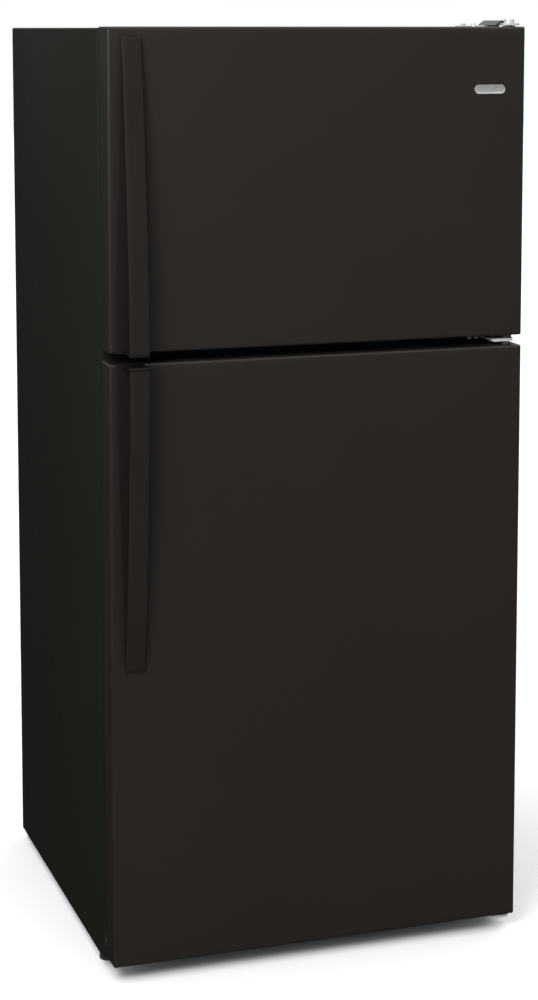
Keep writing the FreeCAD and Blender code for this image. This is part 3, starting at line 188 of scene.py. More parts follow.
def case():
    """The folded case: a closed profile of the sheet, carried over the sides and the top.

    The path runs up one side, over the top and down the other, with quarter circles at its
    two top corners. Below the toe line the front return is left out for the toe space.
    """
    low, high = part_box("cabinet_wrapper")
    front, back = low.y, high.y
    ease = CASE_FOLD * 0.3
    inset = [FRONT_RETURN, CASE_FOLD, ease, 0, 0, ease, CASE_FOLD]
    inset += [BACK_RETURN, BACK_RETURN, CASE_SHEET, CASE_SHEET, FRONT_RETURN]
    depth = [front, front, front + ease, front + CASE_FOLD, back - CASE_FOLD, back - ease, back]
    depth += [back, back - CASE_SHEET, back - CASE_SHEET, front + CASE_SHEET, front + CASE_SHEET]
    inset, depth = np.array(inset)[:, None], np.array(depth)[:, None]
    radius = np.maximum(CASE_CORNER - inset, 0.3 * MM)
    toe = np.where(depth < 0, np.minimum(inset, CASE_SHEET), inset)
    turn = np.linspace(0, math.pi / 2, 6)
    side = -low.x - inset
    top = high.z - inset
    rise = top - radius + radius * np.sin(turn)
    reach = side - radius + radius * np.cos(turn)
    toe_x = -low.x - toe
    ground, shin = np.full_like(toe, low.z), np.full_like(toe, TOE_HEIGHT)
    x = np.hstack([-toe_x, -toe_x, -side, -reach, reach[:, ::-1], side, toe_x, toe_x])
    z = np.hstack([ground, shin, shin, rise, rise[:, ::-1], shin, shin, ground])
    loops = np.stack([x, np.broadcast_to(depth, x.shape), z], axis=-1)
    return skin("cabinet_case", loops.transpose(1, 0, 2))


CASE_PAINT = pebbled_black()
fit(case(), CASE_PAINT, "cabinet", "cabinet_wrapper")

# ---------------------------------------------------------------- back
# A galvanised sheet closes the foam at the back. Long shallow ribs are pressed into it to
# stiffen it. Below it a slotted sheet covers the machine compartment, and small pan-headed
# screws hold both to the case's return.

RIB_PITCH = 150 * MM
RIB_HEIGHT = 0.8 * MM
RIB_START = 52 * MM
RIB_FLANK = 6 * MM
RIB_RUNOUT = 0.03
RIB_MARGIN = 0.07
RIBBED_HALF = 0.33
SCREW_HEAD = 4.6 * MM
SCREW_RISE = 1.1 * MM
SIDE_SCREWS = 0.352
SIDE_SCREW_LEVELS = (0.07, 0.24, 0.6, 0.95, 1.3, 1.625)
TOP_SCREWS = (-0.18, 0.0, 0.18)


def galvanised_sheet():
    """Zinc-coated steel: small pale flakes, a dull sheen and faint rolling lines."""
    zinc = Finish("galvanised_sheet", (0.4, 0.41, 0.41), 0.42, 0.6)
    zinc.tint(zinc.cells(170.0), (0.36, 0.37, 0.375), (0.43, 0.44, 0.44), (0.05, 0.75))
    zinc.polish(zinc.noise(7.0), 0.36, 0.5)
    zinc.relief(zinc.noise(120.0, 2.0, (1, 1, 0.08)), 0.00006, 0.4)
    return zinc.material


def smooth_step(t):
    """Three t squared less two t cubed, with t held between 0 and 1."""
    t = np.clip(t, 0, 1)
    return t * t * (3 - 2 * t)


def ribbed_sheet():
    """Flat sheet with upright ribs pressed outwards.

    A rib's height is a smooth step of the way from the middle between two ribs, times a
    smooth step of the way from the sheet's lower edge and another from its upper one.
    """
    low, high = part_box("cabinet_back_panel")
    x, z = np.meshgrid(np.linspace(low.x, high.x, 160), np.linspace(low.z, high.z, 90))
    from_middle = np.abs((x / RIB_PITCH) % 1.0 - 0.5) * RIB_PITCH
    across = smooth_step((from_middle - RIB_START) / RIB_FLANK) * (np.abs(x) < RIBBED_HALF)
    lower_end = smooth_step((z - low.z - RIB_MARGIN) / RIB_RUNOUT)
    upper_end = smooth_step((high.z - RIB_MARGIN - z) / RIB_RUNOUT)
    pressed = across * (lower_end * upper_end)
    outer = np.stack([x, high.y - RIB_HEIGHT * (1 - pressed), z], axis=-1)
    inner = np.stack([x, np.full_like(x, low.y), z], axis=-1)
    return skin("back_panel_sheet", np.concatenate([outer, inner[:, ::-1]], axis=1), sharp=60)


def eased(node, width, sharp=32):
    """Copy of a CAD piece with its hard edges eased by a width in metres, or 0 for none.

    Its triangles are merged into flat faces, and a bevel rounds each edge over 30 degrees.
    """
    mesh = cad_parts[node].data.copy()
    mesh.name = node + "_eased"
    work = bmesh.new()
    work.from_mesh(mesh)
    bmesh.ops.remove_doubles(work, verts=work.verts, dist=2e-6)
    bmesh.ops.dissolve_limit(work, angle_limit=0.01, verts=work.verts, edges=work.edges)
    piece = set_down(node + "_eased", work, mesh, sharp)
    if width:
        edge = piece.modifiers.new("Eased edges", "BEVEL")
        edge.width = width
        edge.segments = 2
        edge.limit_method = "ANGLE"
        edge.angle_limit = math.radians(30)
        edge.harden_normals = True
    return piece


def pan_heads(name, places):
    """Domed screw heads: rings of radius against height, with a small dimple in the middle."""
    around = np.linspace(0, 2 * math.pi, 20, endpoint=False)
    ways = np.array([1.0, 1.0, 0.85, 0.5, 0.15])
    rises = np.array([0.0, 0.45, 0.8, 1.0, 0.9]) * SCREW_RISE
    ring_x = SCREW_HEAD * ways[:, None] * np.cos(around)
    ring_z = SCREW_HEAD * ways[:, None] * np.sin(around)
    depth = np.broadcast_to(rises[:, None], ring_x.shape)
    head = np.stack([ring_x, depth, ring_z], axis=-1)
    return skin(name, *[head + np.array(place) for place in places])


SHEET_ZINC = galvanised_sheet()
fit(ribbed_sheet(), SHEET_ZINC, "cabinet", "cabinet_back_panel")
fit(eased("rear_access_cover", 0.0), SHEET_ZINC, "cabinet", "rear_access_cover")
panel_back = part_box("cabinet_back_panel")[1].y
screw_rows = []
for x in (-SIDE_SCREWS, SIDE_SCREWS):
    screw_rows += [(x, panel_back, z) for z in SIDE_SCREW_LEVELS]
screw_rows += [(x, panel_back, SIDE_SCREW_LEVELS[-1]) for x in TOP_SCREWS]
fit(pan_heads("back_screws", screw_rows), CASE_PAINT, "cabinet", slot="hinge_screws")

# ---------------------------------------------------------------- insulation
# Polyurethane foam, blown in between the case and the liners and into each door. It sets
# to a pale, finely pitted crust.


def blown_foam():
    """Pale yellow foam with open pits and darker blotches."""
    crust = Finish("blown_foam", (0.72, 0.62, 0.38), 0.9)
    crust.tint(crust.noise(18.0), (0.62, 0.5, 0.26), (0.8, 0.71, 0.47))
    crust.relief(crust.cells(300.0), 0.0006)
    return crust.material


FOAM = blown_foam()
for foam in ("cabinet_foam", "freezer_door_foam", "fridge_door_foam"):
    foam_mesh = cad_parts[foam].data
    foam_mesh.materials.clear()
    foam_mesh.materials.append(FOAM)

# ---------------------------------------------------------------- liners
# Each compartment is lined with one vacuum-formed sheet of white plastic. The forming rounds
# every corner, a flat lip turns out at the mouth, and ledges on the side walls carry shelves.

LINER_CORNER = 18.0 * MM
LINER_SHEET = 1.6 * MM
LINER_BACK = 2 * MM
MOUTH_ROUND = 4.0 * MM
FREEZER_HALF = 0.320
FREEZER_FLOOR = 1.130
FREEZER_CEILING = 1.586
FRIDGE_HALF = 0.332
FRIDGE_FLOOR = 0.120
FRIDGE_CEILING = 1.060
HUMP_FRONT = 0.1555
HUMP_RUN = 0.0025
HUMP_HEIGHT = 0.172
FREEZER_LEDGE = 12 * MM
FREEZER_LEDGE_LEVEL = 1.352
FREEZER_LEDGE_RUN = (-0.150, 0.240)
FRIDGE_LEDGE = 5 * MM
FRIDGE_LEDGE_LEVELS = (0.318, 0.560, 0.790)
FRIDGE_LEDGE_RUN = (-0.136, 0.318)


def moulded_white():
    """White formed plastic with a soft sheen, very slightly orange-peeled."""
    plastic = Finish("moulded_white_plastic", (0.8, 0.81, 0.8), 0.3)
    plastic.tint(plastic.noise(2.5), (0.77, 0.78, 0.77), (0.82, 0.83, 0.825))
    plastic.polish(plastic.noise(14.0), 0.28, 0.4)
    plastic.relief(plastic.noise(160.0, 2.0), 0.00008, 0.5)
    return plastic.material


def wall_loops(left, right, bottom, top, radius, depth, steps=6):
    """Upright rounded rectangles, one for each depth.

    Each corner is a quarter circle: centre plus radius times cosine and sine of the angle.
    """
    arrays = np.broadcast_arrays(left, right, bottom, top, radius, depth)
    left, right, bottom, top, radius, depth = (a.astype(float)[:, None] for a in arrays)
    turn = np.linspace(0, math.pi / 2, steps + 1)
    angle = (turn + np.arange(4)[:, None] * math.pi / 2).ravel()
    goes_right = np.repeat([True, False, False, True], steps + 1)
    goes_up = np.repeat([True, True, False, False], steps + 1)
    x = np.where(goes_right, right - radius, left + radius) + radius * np.cos(angle)
    z = np.where(goes_up, top - radius, bottom + radius) + radius * np.sin(angle)
    return np.stack([x, np.broadcast_to(depth, x.shape), z], axis=-1)


def corners_start(node):
    """Depth at which a compartment's walls begin to turn into its back."""
    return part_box(node)[1].y - LINER_BACK - LINER_CORNER


def formed_lining(node, half, ceiling, floor, depths):
    """Loops of a lining: lip, rounded mouth, walls, and corners that turn into the back.

    The floor has one height for each depth of the walls. The mouth and the back corners
    follow a quarter circle: sine inwards, cosine backwards.
    """
    low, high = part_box(node)
    arc = np.linspace(0, math.pi / 2, 6)
    flare = MOUTH_ROUND * (1 - np.sin(arc))
    mouth = low.y + MOUTH_ROUND * (1 - np.cos(arc))
    tuck = LINER_CORNER * 0.8 * (1 - np.cos(arc[1:]))
    tail = corners_start(node) + LINER_CORNER * np.sin(arc[1:])
    grow = np.concatenate([flare, np.zeros(len(depths)), -tuck])
    depth = np.concatenate([mouth, depths, tail])
    bottoms = np.concatenate([np.full(6, floor[0]), floor, np.full(5, floor[-1])])
    radius = np.concatenate([np.full(6 + len(depths), LINER_CORNER), LINER_CORNER - tuck * 0.9])
    walls = wall_loops(-half - grow, half + grow, bottoms - grow, ceiling + grow, radius, depth)
    lip = wall_loops([low.x], [high.x], [low.z], [high.z], [1 * MM], [low.y])
    return np.concatenate([lip, walls])


def formed_sheet(name, loops, half, way):
    """Sheet over loops, open at its outer edge, with a flat back inside the half width.

    The back faces along y the given way, and the sheet is thickened behind its face.
    """
    piece = skin(name, loops, caps=False)
    work = bmesh.new()
    work.from_mesh(piece.data)
    rim = [e for e in work.edges if e.is_boundary and abs(e.verts[0].co.x) < half]
    bmesh.ops.contextual_create(work, geom=rim)
    bmesh.ops.recalc_face_normals(work, faces=work.faces)
    back = max(work.faces, key=lambda face: face.calc_area() if len(face.verts) > 4 else 0)
    if back.normal.y * way < 0:
        bmesh.ops.reverse_faces(work, faces=work.faces)
    work.to_mesh(piece.data)
    work.free()
    wall = piece.modifiers.new("Sheet", "SOLIDIFY")
    wall.thickness = LINER_SHEET
    wall.offset = -1
    return piece


def ledges_on(half, width, height, run, top):
    """A ledge on each side wall: a rounded rectangle whose inset eases its two ends."""
    inset = np.array([2.0, 0.6, 0, 0, 0.6, 2.0]) * MM
    ease = np.array([0, 0.6, 2]) * MM
    depth = np.concatenate([run[0] + ease, run[1] - ease[::-1]])
    loops = []
    for left in (-half, half - width):
        right = left + width
        sides = (left + inset, right - inset, top - height + inset, top - inset * 0.2)
        loops.append(wall_loops(*sides, 1.6 * MM, depth, 3))
    return loops


WHITE = moulded_white()
freezer_wall = np.array([corners_start("freezer_liner")])
freezer_floor = np.array([FREEZER_FLOOR])
loops = formed_lining(
    "freezer_liner", FREEZER_HALF, FREEZER_CEILING, freezer_floor, freezer_wall
)
lining = formed_sheet("freezer_lining", loops, FREEZER_HALF, -1)
fit(lining, WHITE, "cabinet", "freezer_liner")

along_hump = np.linspace(0, 1, 13)
hump_top = FRIDGE_FLOOR + HUMP_HEIGHT
fridge_floor = np.append(FRIDGE_FLOOR + HUMP_HEIGHT * smooth_step(along_hump), hump_top)
fridge_wall = np.append(HUMP_FRONT + HUMP_RUN * along_hump, corners_start("fresh_food_liner"))
loops = formed_lining("fresh_food_liner", FRIDGE_HALF, FRIDGE_CEILING, fridge_floor, fridge_wall)
lining = formed_sheet("fresh_food_lining", loops, FRIDGE_HALF, -1)
fit(lining, WHITE, "cabinet", "fresh_food_liner")

ledges = ledges_on(FREEZER_HALF, FREEZER_LEDGE, 10 * MM, FREEZER_LEDGE_RUN, FREEZER_LEDGE_LEVEL)
for level in FRIDGE_LEDGE_LEVELS:
    ledges += ledges_on(FRIDGE_HALF, FRIDGE_LEDGE, 5 * MM, FRIDGE_LEDGE_RUN, level)
fit(skin("shelf_ledges", *ledges), WHITE, "cabinet", slot="freezer_liner")

# ---------------------------------------------------------------- mullion
# A painted steel strip crosses the front between the compartments. The seals of both doors
# meet it, and the centre hinge is screwed to it.

fit(eased("mullion_rail", 0.0004), CASE_PAINT, "cabinet", "mullion_rail")

# ---------------------------------------------------------------- base
# Galvanised channels run along both sides and across the front. They carry a screwed foot
# at each front corner and a roller at each back one, and a tray for the compressor.


def dark_nylon():
    """Moulded black nylon with a dry, finely grained surface."""
    nylon = Finish("dark_nylon", (0.03, 0.03, 0.03), 0.6)
    nylon.tint(nylon.noise(30.0), (0.022, 0.022, 0.022), (0.04, 0.04, 0.04))
    nylon.relief(nylon.noise(900.0), 0.00005, 0.6)
    return nylon.material


NYLON = dark_nylon()
fit(eased("base_frame", 0.0006), SHEET_ZINC, "cabinet", "base_frame")
fit(eased("compressor_tray", 0.0006), SHEET_ZINC, "cabinet", "compressor_tray")
for side in ("left", "right"):
    foot, roller = "levelling_foot_" + side, "rear_roller_" + side
    fit(eased(foot, 0.0005), NYLON, "foot_" + side, foot)
    fit(eased(roller, 0.0), NYLON, "roller_" + side, roller)

# ---------------------------------------------------------------- toe grille
# A moulded grille clips to the cross member in the toe space. Air for the condenser passes
# through its slots.


def black_moulding():
    """Black moulded plastic, satin, with a fine spark-eroded grain."""
    plastic = Finish("black_moulding", (0.0112, 0.0091, 0.0075), 0.48)
    plastic.tint(plastic.noise(7.0), (0.0107, 0.0087, 0.0072), (0.0117, 0.0095, 0.0078))
    plastic.polish(plastic.noise(60.0), 0.45, 0.52)
    plastic.relief(plastic.noise(1400.0), 0.00003, 0.5)
    plastic.gloss(0.1)
    return plastic.material


BLACK_PLASTIC = black_moulding()
fit(eased("toe_grille", 0.0008), BLACK_PLASTIC, "cabinet", "toe_grille")

# ---------------------------------------------------------------- cooling machine
# The sealed compressor stands on rubber mounts. Its fan blows over the condenser, whose tube
# zigzags between two plates above the pan that catches the defrost water.


def glossy_enamel():
    """Black baked enamel of the compressor can, a little uneven."""
    enamel = Finish("compressor_enamel", (0.012, 0.012, 0.012), 0.25)
    enamel.tint(enamel.noise(25.0), (0.009, 0.009, 0.009), (0.018, 0.018, 0.018))
    enamel.relief(enamel.noise(200.0), 0.0001, 0.4)
    return enamel.material


def bright_copper():
    """Drawn copper tube with brown heat marks."""
    tube = Finish("copper_tube", (0.75, 0.36, 0.2), 0.3, 1.0)
    tube.tint(tube.noise(35.0), (0.48, 0.2, 0.1), (0.86, 0.45, 0.27))
    tube.polish(tube.noise(90.0), 0.22, 0.42)
    return tube.material


def soft_rubber():
    """Black rubber, dull, with a bloom."""
    rubber = Finish("black_rubber", (0.02, 0.02, 0.02), 0.8)
    rubber.tint(rubber.noise(70.0), (0.014, 0.014, 0.014), (0.03, 0.03, 0.03))
    rubber.relief(rubber.noise(500.0), 0.0001, 0.5)
    return rubber.material


def bare_steel():
    """Turned steel of the motor cans, with fine lines round them."""
    steel = Finish("motor_steel", (0.4, 0.4, 0.4), 0.35, 1.0)
    steel.tint(steel.noise(40.0), (0.33, 0.33, 0.33), (0.5, 0.5, 0.5))
    steel.relief(steel.noise(700.0, 2.0, (0.05, 1, 1)), 0.00005, 0.6)
    return steel.material


def fin_stock():
    """Bright aluminium of the evaporator's fins."""
    fins = Finish("evaporator_aluminium", (0.8, 0.81, 0.82), 0.3, 1.0)
    fins.tint(fins.noise(30.0), (0.7, 0.71, 0.72), (0.87, 0.88, 0.89))
    fins.polish(fins.noise(80.0), 0.25, 0.42)
    return fins.material


RUBBER = soft_rubber()
fit(eased("compressor", 0.001), glossy_enamel(), "cabinet", "compressor")
fit(eased("compressor_grommets", 0.001), RUBBER, "cabinet", "compressor_grommets")
fit(eased("condenser_coil", 0.0), NYLON, "cabinet", "condenser_coil")
fit(eased("fan_motors", 0.0008), bare_steel(), "cabinet", "fan_motors")
fit(eased("condenser_fan_blade", 0.0004), NYLON, "condenser_fan", "condenser_fan_blade")
fit(eased("evaporator_fan_blade", 0.0004), NYLON, "evaporator_fan", "evaporator_fan_blade")
fit(eased("drain_pan", 0.0), NYLON, "cabinet", "drain_pan")
fit(eased("refrigerant_lines", 0.0), bright_copper(), "cabinet", "refrigerant_lines")
fit(eased("cord_gland", 0.0006), RUBBER, "cabinet", "cord_gland")
fit(eased("evaporator_coil", 0.0), fin_stock(), "cabinet", "evaporator_coil")
fit(eased("evaporator_cover", 0.0006), WHITE, "cabinet", "evaporator_cover")

# ---------------------------------------------------------------- light
# A small bulb lies in the ceiling housing, behind a ribbed milky lens. The heater under the
# evaporator is a glass tube.


def frosted_lens():
    """Milky lens over the lamp."""
    lens = Finish("frosted_lens", (0.93, 0.93, 0.9), 0.4)
    lens.polish(lens.noise(60.0), 0.3, 0.5)
    lens.shader.inputs["Transmission Weight"].default_value = 0.6
    return lens.material


def opal_bulb():
    """White bulb glass on its socket."""
    bulb = Finish("opal_bulb", (0.95, 0.93, 0.86), 0.25)
    bulb.tint(bulb.noise(50.0), (0.9, 0.87, 0.78), (0.97, 0.96, 0.92))
    return bulb.material


def tempered_glass():
    """Clear glass with a green cast and faint smears."""
    pane = Finish("tempered_glass", (0.84, 0.94, 0.9), 0.03)
    pane.polish(pane.noise(18.0), 0.02, 0.09)
    pane.shader.inputs["Transmission Weight"].default_value = 0.95
    return pane.material


GLASS = tempered_glass()
fit(eased("light_cover", 0.0003), frosted_lens(), "cabinet", "light_cover")
fit(eased("light_bulb", 0.0), opal_bulb(), "cabinet", "light_bulb")
fit(eased("defrost_heater", 0.0), GLASS, "cabinet", "defrost_heater")

# ---------------------------------------------------------------- shelves
# Each fridge shelf is a moulded frame with a tempered pane let into it. The freezer's is
# made of steel wires welded across three bars and dipped in white plastic.


def dipped_coating():
    """Thick white dip coating, glossy, with small sags."""
    dip = Finish("dipped_coating", (0.84, 0.84, 0.82), 0.22)
    dip.tint(dip.noise(20.0), (0.8, 0.8, 0.78), (0.87, 0.87, 0.86))
    dip.relief(dip.noise(130.0), 0.0002, 0.5)
    return dip.material


fit(eased("shelf_frames", 0.001), WHITE, "cabinet", "shelf_frames")
fit(eased("shelf_glass", 0.0006), GLASS, "cabinet", "shelf_glass")
fit(eased("freezer_shelf", 0.0), dipped_coating(), "cabinet", "freezer_shelf")

# ---------------------------------------------------------------- controls
# A moulded housing in the fridge ceiling holds the two thermostats. Their knobs are fluted
# round the rim and have a raised pointer. A switch beside the housing feels the door.

KNOB_RADIUS = 15 * MM
KNOB_FLUTES = 20
KNOB_LEVEL = 1.034
POINTER_HALF = 2.5 * MM
POINTER_DOWN = 0.012
POINTER_UP = 0.014


def fluted_knob(name, node):
    """Knob as rings of radius against depth, and its pointer as rings that round its face.

    The flutes come from a cosine of the angle, taken off the rim's radius.
    """
    low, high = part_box(node)
    middle = (low.x + high.x) / 2
    around = np.linspace(0, 2 * math.pi, KNOB_FLUTES * 6, endpoint=False)
    radii = np.array([0.5, 0.72, 0.86, 0.93, 1.0, 1.0, 0.2, 0.2]) * KNOB_RADIUS
    flutes = np.array([0, 0, 0, 0.5, 1, 1, 0, 0]) * 0.8 * MM
    depths = low.y + np.array([5.4, 5.0, 5.2, 6.0, 8.0, 18.5, 18.5, 32.0]) * MM
    ring = radii[:, None] - flutes[:, None] * (1 + np.cos(KNOB_FLUTES * around)) / 2
    cap_x = middle + ring * np.cos(around)
    cap_z = KNOB_LEVEL + ring * np.sin(around)
    cap = np.stack([cap_x, np.broadcast_to(depths[:, None], cap_x.shape), cap_z], axis=-1)
    inset = np.array([1.6, 0.5, 0.0, 0.0]) * MM
    depth = low.y + np.array([0.0, 0.4, 1.6, 7.0]) * MM
    left, right = middle - POINTER_HALF + inset, middle + POINTER_HALF - inset
    foot, tip = KNOB_LEVEL - POINTER_DOWN + inset, KNOB_LEVEL + POINTER_UP - inset
    pointer = wall_loops(left, right, foot, tip, 0.8 * MM, depth, 3)
    return skin(name, cap), skin(name + "_pointer", pointer)


fit(eased("control_housing", 0.0015), WHITE, "cabinet", "control_housing")
fit(eased("light_switch_body", 0.001), WHITE, "cabinet", "light_switch_body")
fit(eased("light_switch_plunger", 0.0), WHITE, "light_switch", "light_switch_plunger")
for knob in ("fridge", "freezer"):
    cap, pointer = fluted_knob(knob + "_knob_cap", knob + "_control_knob")
    fit(cap, WHITE, knob + "_knob", knob + "_control_knob")
    fit(pointer, NYLON, knob + "_knob", slot=knob + "_control_knob")

# ---------------------------------------------------------------- crispers
# Two clear moulded drawers. Their walls lean a little for the mould, a rolled rim stiffens
# them, and a lip across the front turns down as a grip.

TUB_WALL = 2.5 * MM
TUB_DRAFT = 3.0 * MM
TUB_CORNER = 14 * MM
GRIP_DEPTH = 12.5 * MM
GRIP_HEIGHT = 34 * MM
GRIP_INSET = 50 * MM
GRIP_DROP = 30 * MM
TUB_SETBACK = 12 * MM


def clear_styrene():
    """Clear moulded styrene, slightly grey, with flow marks."""
    styrene = Finish("clear_styrene", (0.83, 0.88, 0.9), 0.12)
    styrene.tint(styrene.noise(8.0), (0.79, 0.85, 0.87), (0.87, 0.91, 0.93))
    styrene.polish(styrene.noise(24.0), 0.08, 0.2)
    styrene.relief(styrene.noise(50.0), 0.00015, 0.4)
    styrene.shader.inputs["Transmission Weight"].default_value = 0.8
    return styrene.material


def tub_loops(low, high, corner):
    """Open tub: rounded rectangles that rise outside, turn over the rim and go down inside.

    The walls lean in from the rolled rim by the draft, and short arcs join them to the floor.
    """
    height = high[2] - low[2]
    drop = np.array([0.0, 0.25, 1.5, 4.0]) * MM
    lean = np.array([4.0, 1.8, 0.5, 0.0]) * MM + TUB_DRAFT
    rim_in = np.array([1.2, 0.2, 0.0, 0.0, 0.4, 1.2]) * MM
    rim_up = np.array([-7.0, -6.2, -5.0, -1.2, -0.3, 0.0]) * MM + height
    lip_in = np.array([0.8, 1.6, 1.9]) * MM + TUB_WALL
    lip_up = np.array([0.0, -0.8, -3.0]) * MM + height
    inset = np.concatenate([lean, rim_in, lip_in, lean[::-1] + TUB_WALL])
    rise = np.concatenate([drop, rim_up, lip_up, drop[::-1] + TUB_WALL])
    radius = np.maximum(corner - inset, 1.0 * MM)
    sides = (low[0] + inset, high[0] - inset, low[1] + inset, high[1] - inset)
    return wall_loops(*sides, radius, low[2] + rise)[..., [0, 2, 1]]


def grip_loops(left, right, front, level):
    """Grip lip: a hooked profile of depth and height, carried across the drawer's front.

    The profile shrinks towards its root at both ends, which rounds them.
    """
    depth = np.array([12.5, 3, 0.9, 0, 0, 0.8, 2.2, 3, 3, 3.6, 5, 12.5]) * MM
    height = np.array([34, 34, 33.4, 32, 17.5, 16.5, 16.5, 17.5, 28, 29.6, 30.2, 30.2]) * MM
    height -= GRIP_HEIGHT
    ends = np.array([0, 1, 4]) * MM
    across = np.concatenate([left + ends, right - ends[::-1]])
    shrink = np.array([0.5, 0.8, 1, 1, 0.8, 0.5])[:, None]
    y = front + GRIP_DEPTH + (depth - GRIP_DEPTH) * shrink
    z = level + height * (0.6 + 0.4 * shrink)
    return np.stack([np.broadcast_to(across[:, None], y.shape), y, z], axis=-1)


STYRENE = clear_styrene()
for side in ("left", "right"):
    node, body = "crisper_" + side, side + "_crisper"
    low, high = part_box(node)
    tub = tub_loops((low.x, low.y + TUB_SETBACK, low.z), tuple(high), TUB_CORNER)
    fit(skin("crisper_tub_" + side, tub, sharp=50), STYRENE, body, node)
    grip = grip_loops(low.x + GRIP_INSET, high.x - GRIP_INSET, low.y, high.z - GRIP_DROP)
    fit(skin("crisper_grip_" + side, grip), WHITE, body, slot=node)

# ---------------------------------------------------------------- hinges
# Pressed steel brackets with riveted pins, zinc plated. The centre one's flange is given the
# mullion's black paint as painted shade, for the shadow in the gap between the doors. A moulded
# cap clips over the arm of the top one.

# Faces of the centre hinge behind this depth are painted black as shade.
FLANGE_FRONT = -285.0 * MM


def zinc_plate():
    """Zinc plating: pale, slightly yellow, with tool marks."""
    plating = Finish("zinc_plating", (0.66, 0.65, 0.62), 0.4, 0.4)
    plating.tint(plating.noise(60.0), (0.56, 0.55, 0.51), (0.76, 0.75, 0.72))
    plating.polish(plating.noise(140.0), 0.26, 0.44)
    return plating.material


def paint_where(piece, finish, chosen):
    """A second finish on the faces whose middles the chosen test of x, y and z picks out."""
    piece.data.materials.append(finish)
    middle = np.empty(len(piece.data.polygons) * 3)
    piece.data.polygons.foreach_get("center", middle)
    picked = chosen(*middle.reshape(-1, 3).T)
    piece.data.polygons.foreach_set("material_index", picked.astype(np.int32))


def hinge_cover_plastic():
    """Dark grey moulded plastic of the hinge cap."""
    cover = Finish("hinge_cover_plastic", (0.035, 0.034, 0.032), 0.4)
    cover.tint(cover.noise(30.0), (0.03, 0.029, 0.027), (0.042, 0.04, 0.038))
    cover.relief(cover.noise(1200.0), 0.00004, 0.5)
    return cover.material


ZINC = zinc_plate()
for hinge in ("top_hinge", "bottom_hinge", "hinge_screws"):
    fit(eased(hinge, 0.0006), ZINC, "cabinet", hinge)
bracket = eased("centre_hinge", 0.0005)
fit(bracket, ZINC, "cabinet", "centre_hinge")
# The flange behind the gap gets the case's black as painted shade; the arm stays zinc.
paint_where(bracket, CASE_PAINT, lambda x, y, z: y > FLANGE_FRONT)
fit(eased("top_hinge_cover", 0.001), hinge_cover_plastic(), "cabinet", "top_hinge_cover")

# ---------------------------------------------------------------- door pans
# Each door is a pan of steel folded on all four sides. Its satin black paint has the faint
# orange peel of a sprayed coat.

DOOR_FOLD = 5.0 * MM
PAN_CORNER = 3.0 * MM
FACE_MARGIN = 14 * MM


def satin_black():
    """Sprayed satin black with a brown cast and faint orange peel."""
    paint = Finish("satin_black_paint", (0.0135, 0.0108, 0.0088), 0.4)
    paint.tint(paint.noise(1.6), (0.0131, 0.0105, 0.0085), (0.0139, 0.0111, 0.0091))
    paint.polish(paint.noise(5.0), 0.39, 0.42)
    paint.relief(paint.noise(380.0, 2.0), 0.00005, 0.3)
    paint.gloss(0.3)
    return paint.material


def framed(low, high, radius, profile, steps=6):
    """A profile of inset and depth pairs, carried round an upright rounded rectangle.

    The corners' radius shrinks with the inset, so the profile keeps its width round them.
    """
    inset, depth = np.array(profile).T
    corner = np.maximum(radius - inset, 0.4 * MM)
    sides = (low.x + inset, high.x - inset, low.z + inset, high.z - inset)
    return wall_loops(*sides, corner, depth, steps)


def pan(node):
    """Door pan: flat front, a quarter circle to the side, a narrow return, and back inside."""
    low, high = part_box(node)
    sheet = CASE_SHEET
    front, rear = low.y, high.y
    arc = np.linspace(0, math.pi / 2, 8)
    profile = [(FACE_MARGIN, front)]
    profile += list(zip(DOOR_FOLD * (1 - np.sin(arc)), front + DOOR_FOLD * (1 - np.cos(arc))))
    profile += [(0, rear - 1 * MM), (0.3 * MM, rear - 0.3 * MM), (1 * MM, rear)]
    profile += [(BACK_RETURN, rear), (BACK_RETURN, rear - sheet), (sheet, rear - sheet)]
    profile += [(sheet, front + DOOR_FOLD), (DOOR_FOLD, front + sheet)]
    profile += [(FACE_MARGIN, front + sheet)]
    return skin(node.replace("shell", "pan"), framed(low, high, PAN_CORNER, profile), sharp=50)


DOOR_PAINT = satin_black()
fit(pan("freezer_door_shell"), DOOR_PAINT, "freezer_door", "freezer_door_shell")
fit(pan("fridge_door_shell"), DOOR_PAINT, "fridge_door", "fridge_door_shell")

# ---------------------------------------------------------------- door linings
# A formed white sheet closes each door's back. Its raised ring fills the mouth of the
# compartment and holds the bins between its sides.

RING_GAP = 14 * MM
RING_WIDTH = 28 * MM
RING_ROUND = 3.0 * MM
RING_CORNER = 4.6 * MM
RING_LEAN = 0.4 * MM


def door_lining(node, half, bottom, top):
    """Flat edge, a ring raised on rounded and leaning sides, and the flat back inside it.

    The crest's two edges are quarter circles, and each foot eases into the flat.
    """
    low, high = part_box(node)
    base, crest = low.y + 2 * MM, high.y
    edge = wall_loops([low.x], [high.x], [low.z], [high.z], [4 * MM], [base])
    arc = np.linspace(0, math.pi / 2, 5)
    foot_in = np.array([-6.0, -2.0, 0.0]) * MM
    foot_up = np.array([0.0, 0.6, 4.0]) * MM
    outer_in = RING_ROUND * (1 - np.cos(arc)) + RING_LEAN
    outer_up = (crest - base) - RING_ROUND * (1 - np.sin(arc))
    rises = np.concatenate([foot_up, outer_up, outer_up[::-1], foot_up[::-1]])
    outward = np.concatenate([foot_in, outer_in])
    insets = np.concatenate([outward, RING_WIDTH - outward[::-1]])
    insets[-1] = RING_WIDTH + 12 * MM
    corner = np.maximum(RING_CORNER - insets, 1 * MM)
    corner[len(corner) // 2:] = 14 * MM
    sides = (-half + insets, half - insets, bottom + insets, top - insets)
    return np.concatenate([edge, wall_loops(*sides, corner, base + rises)])[::-1]


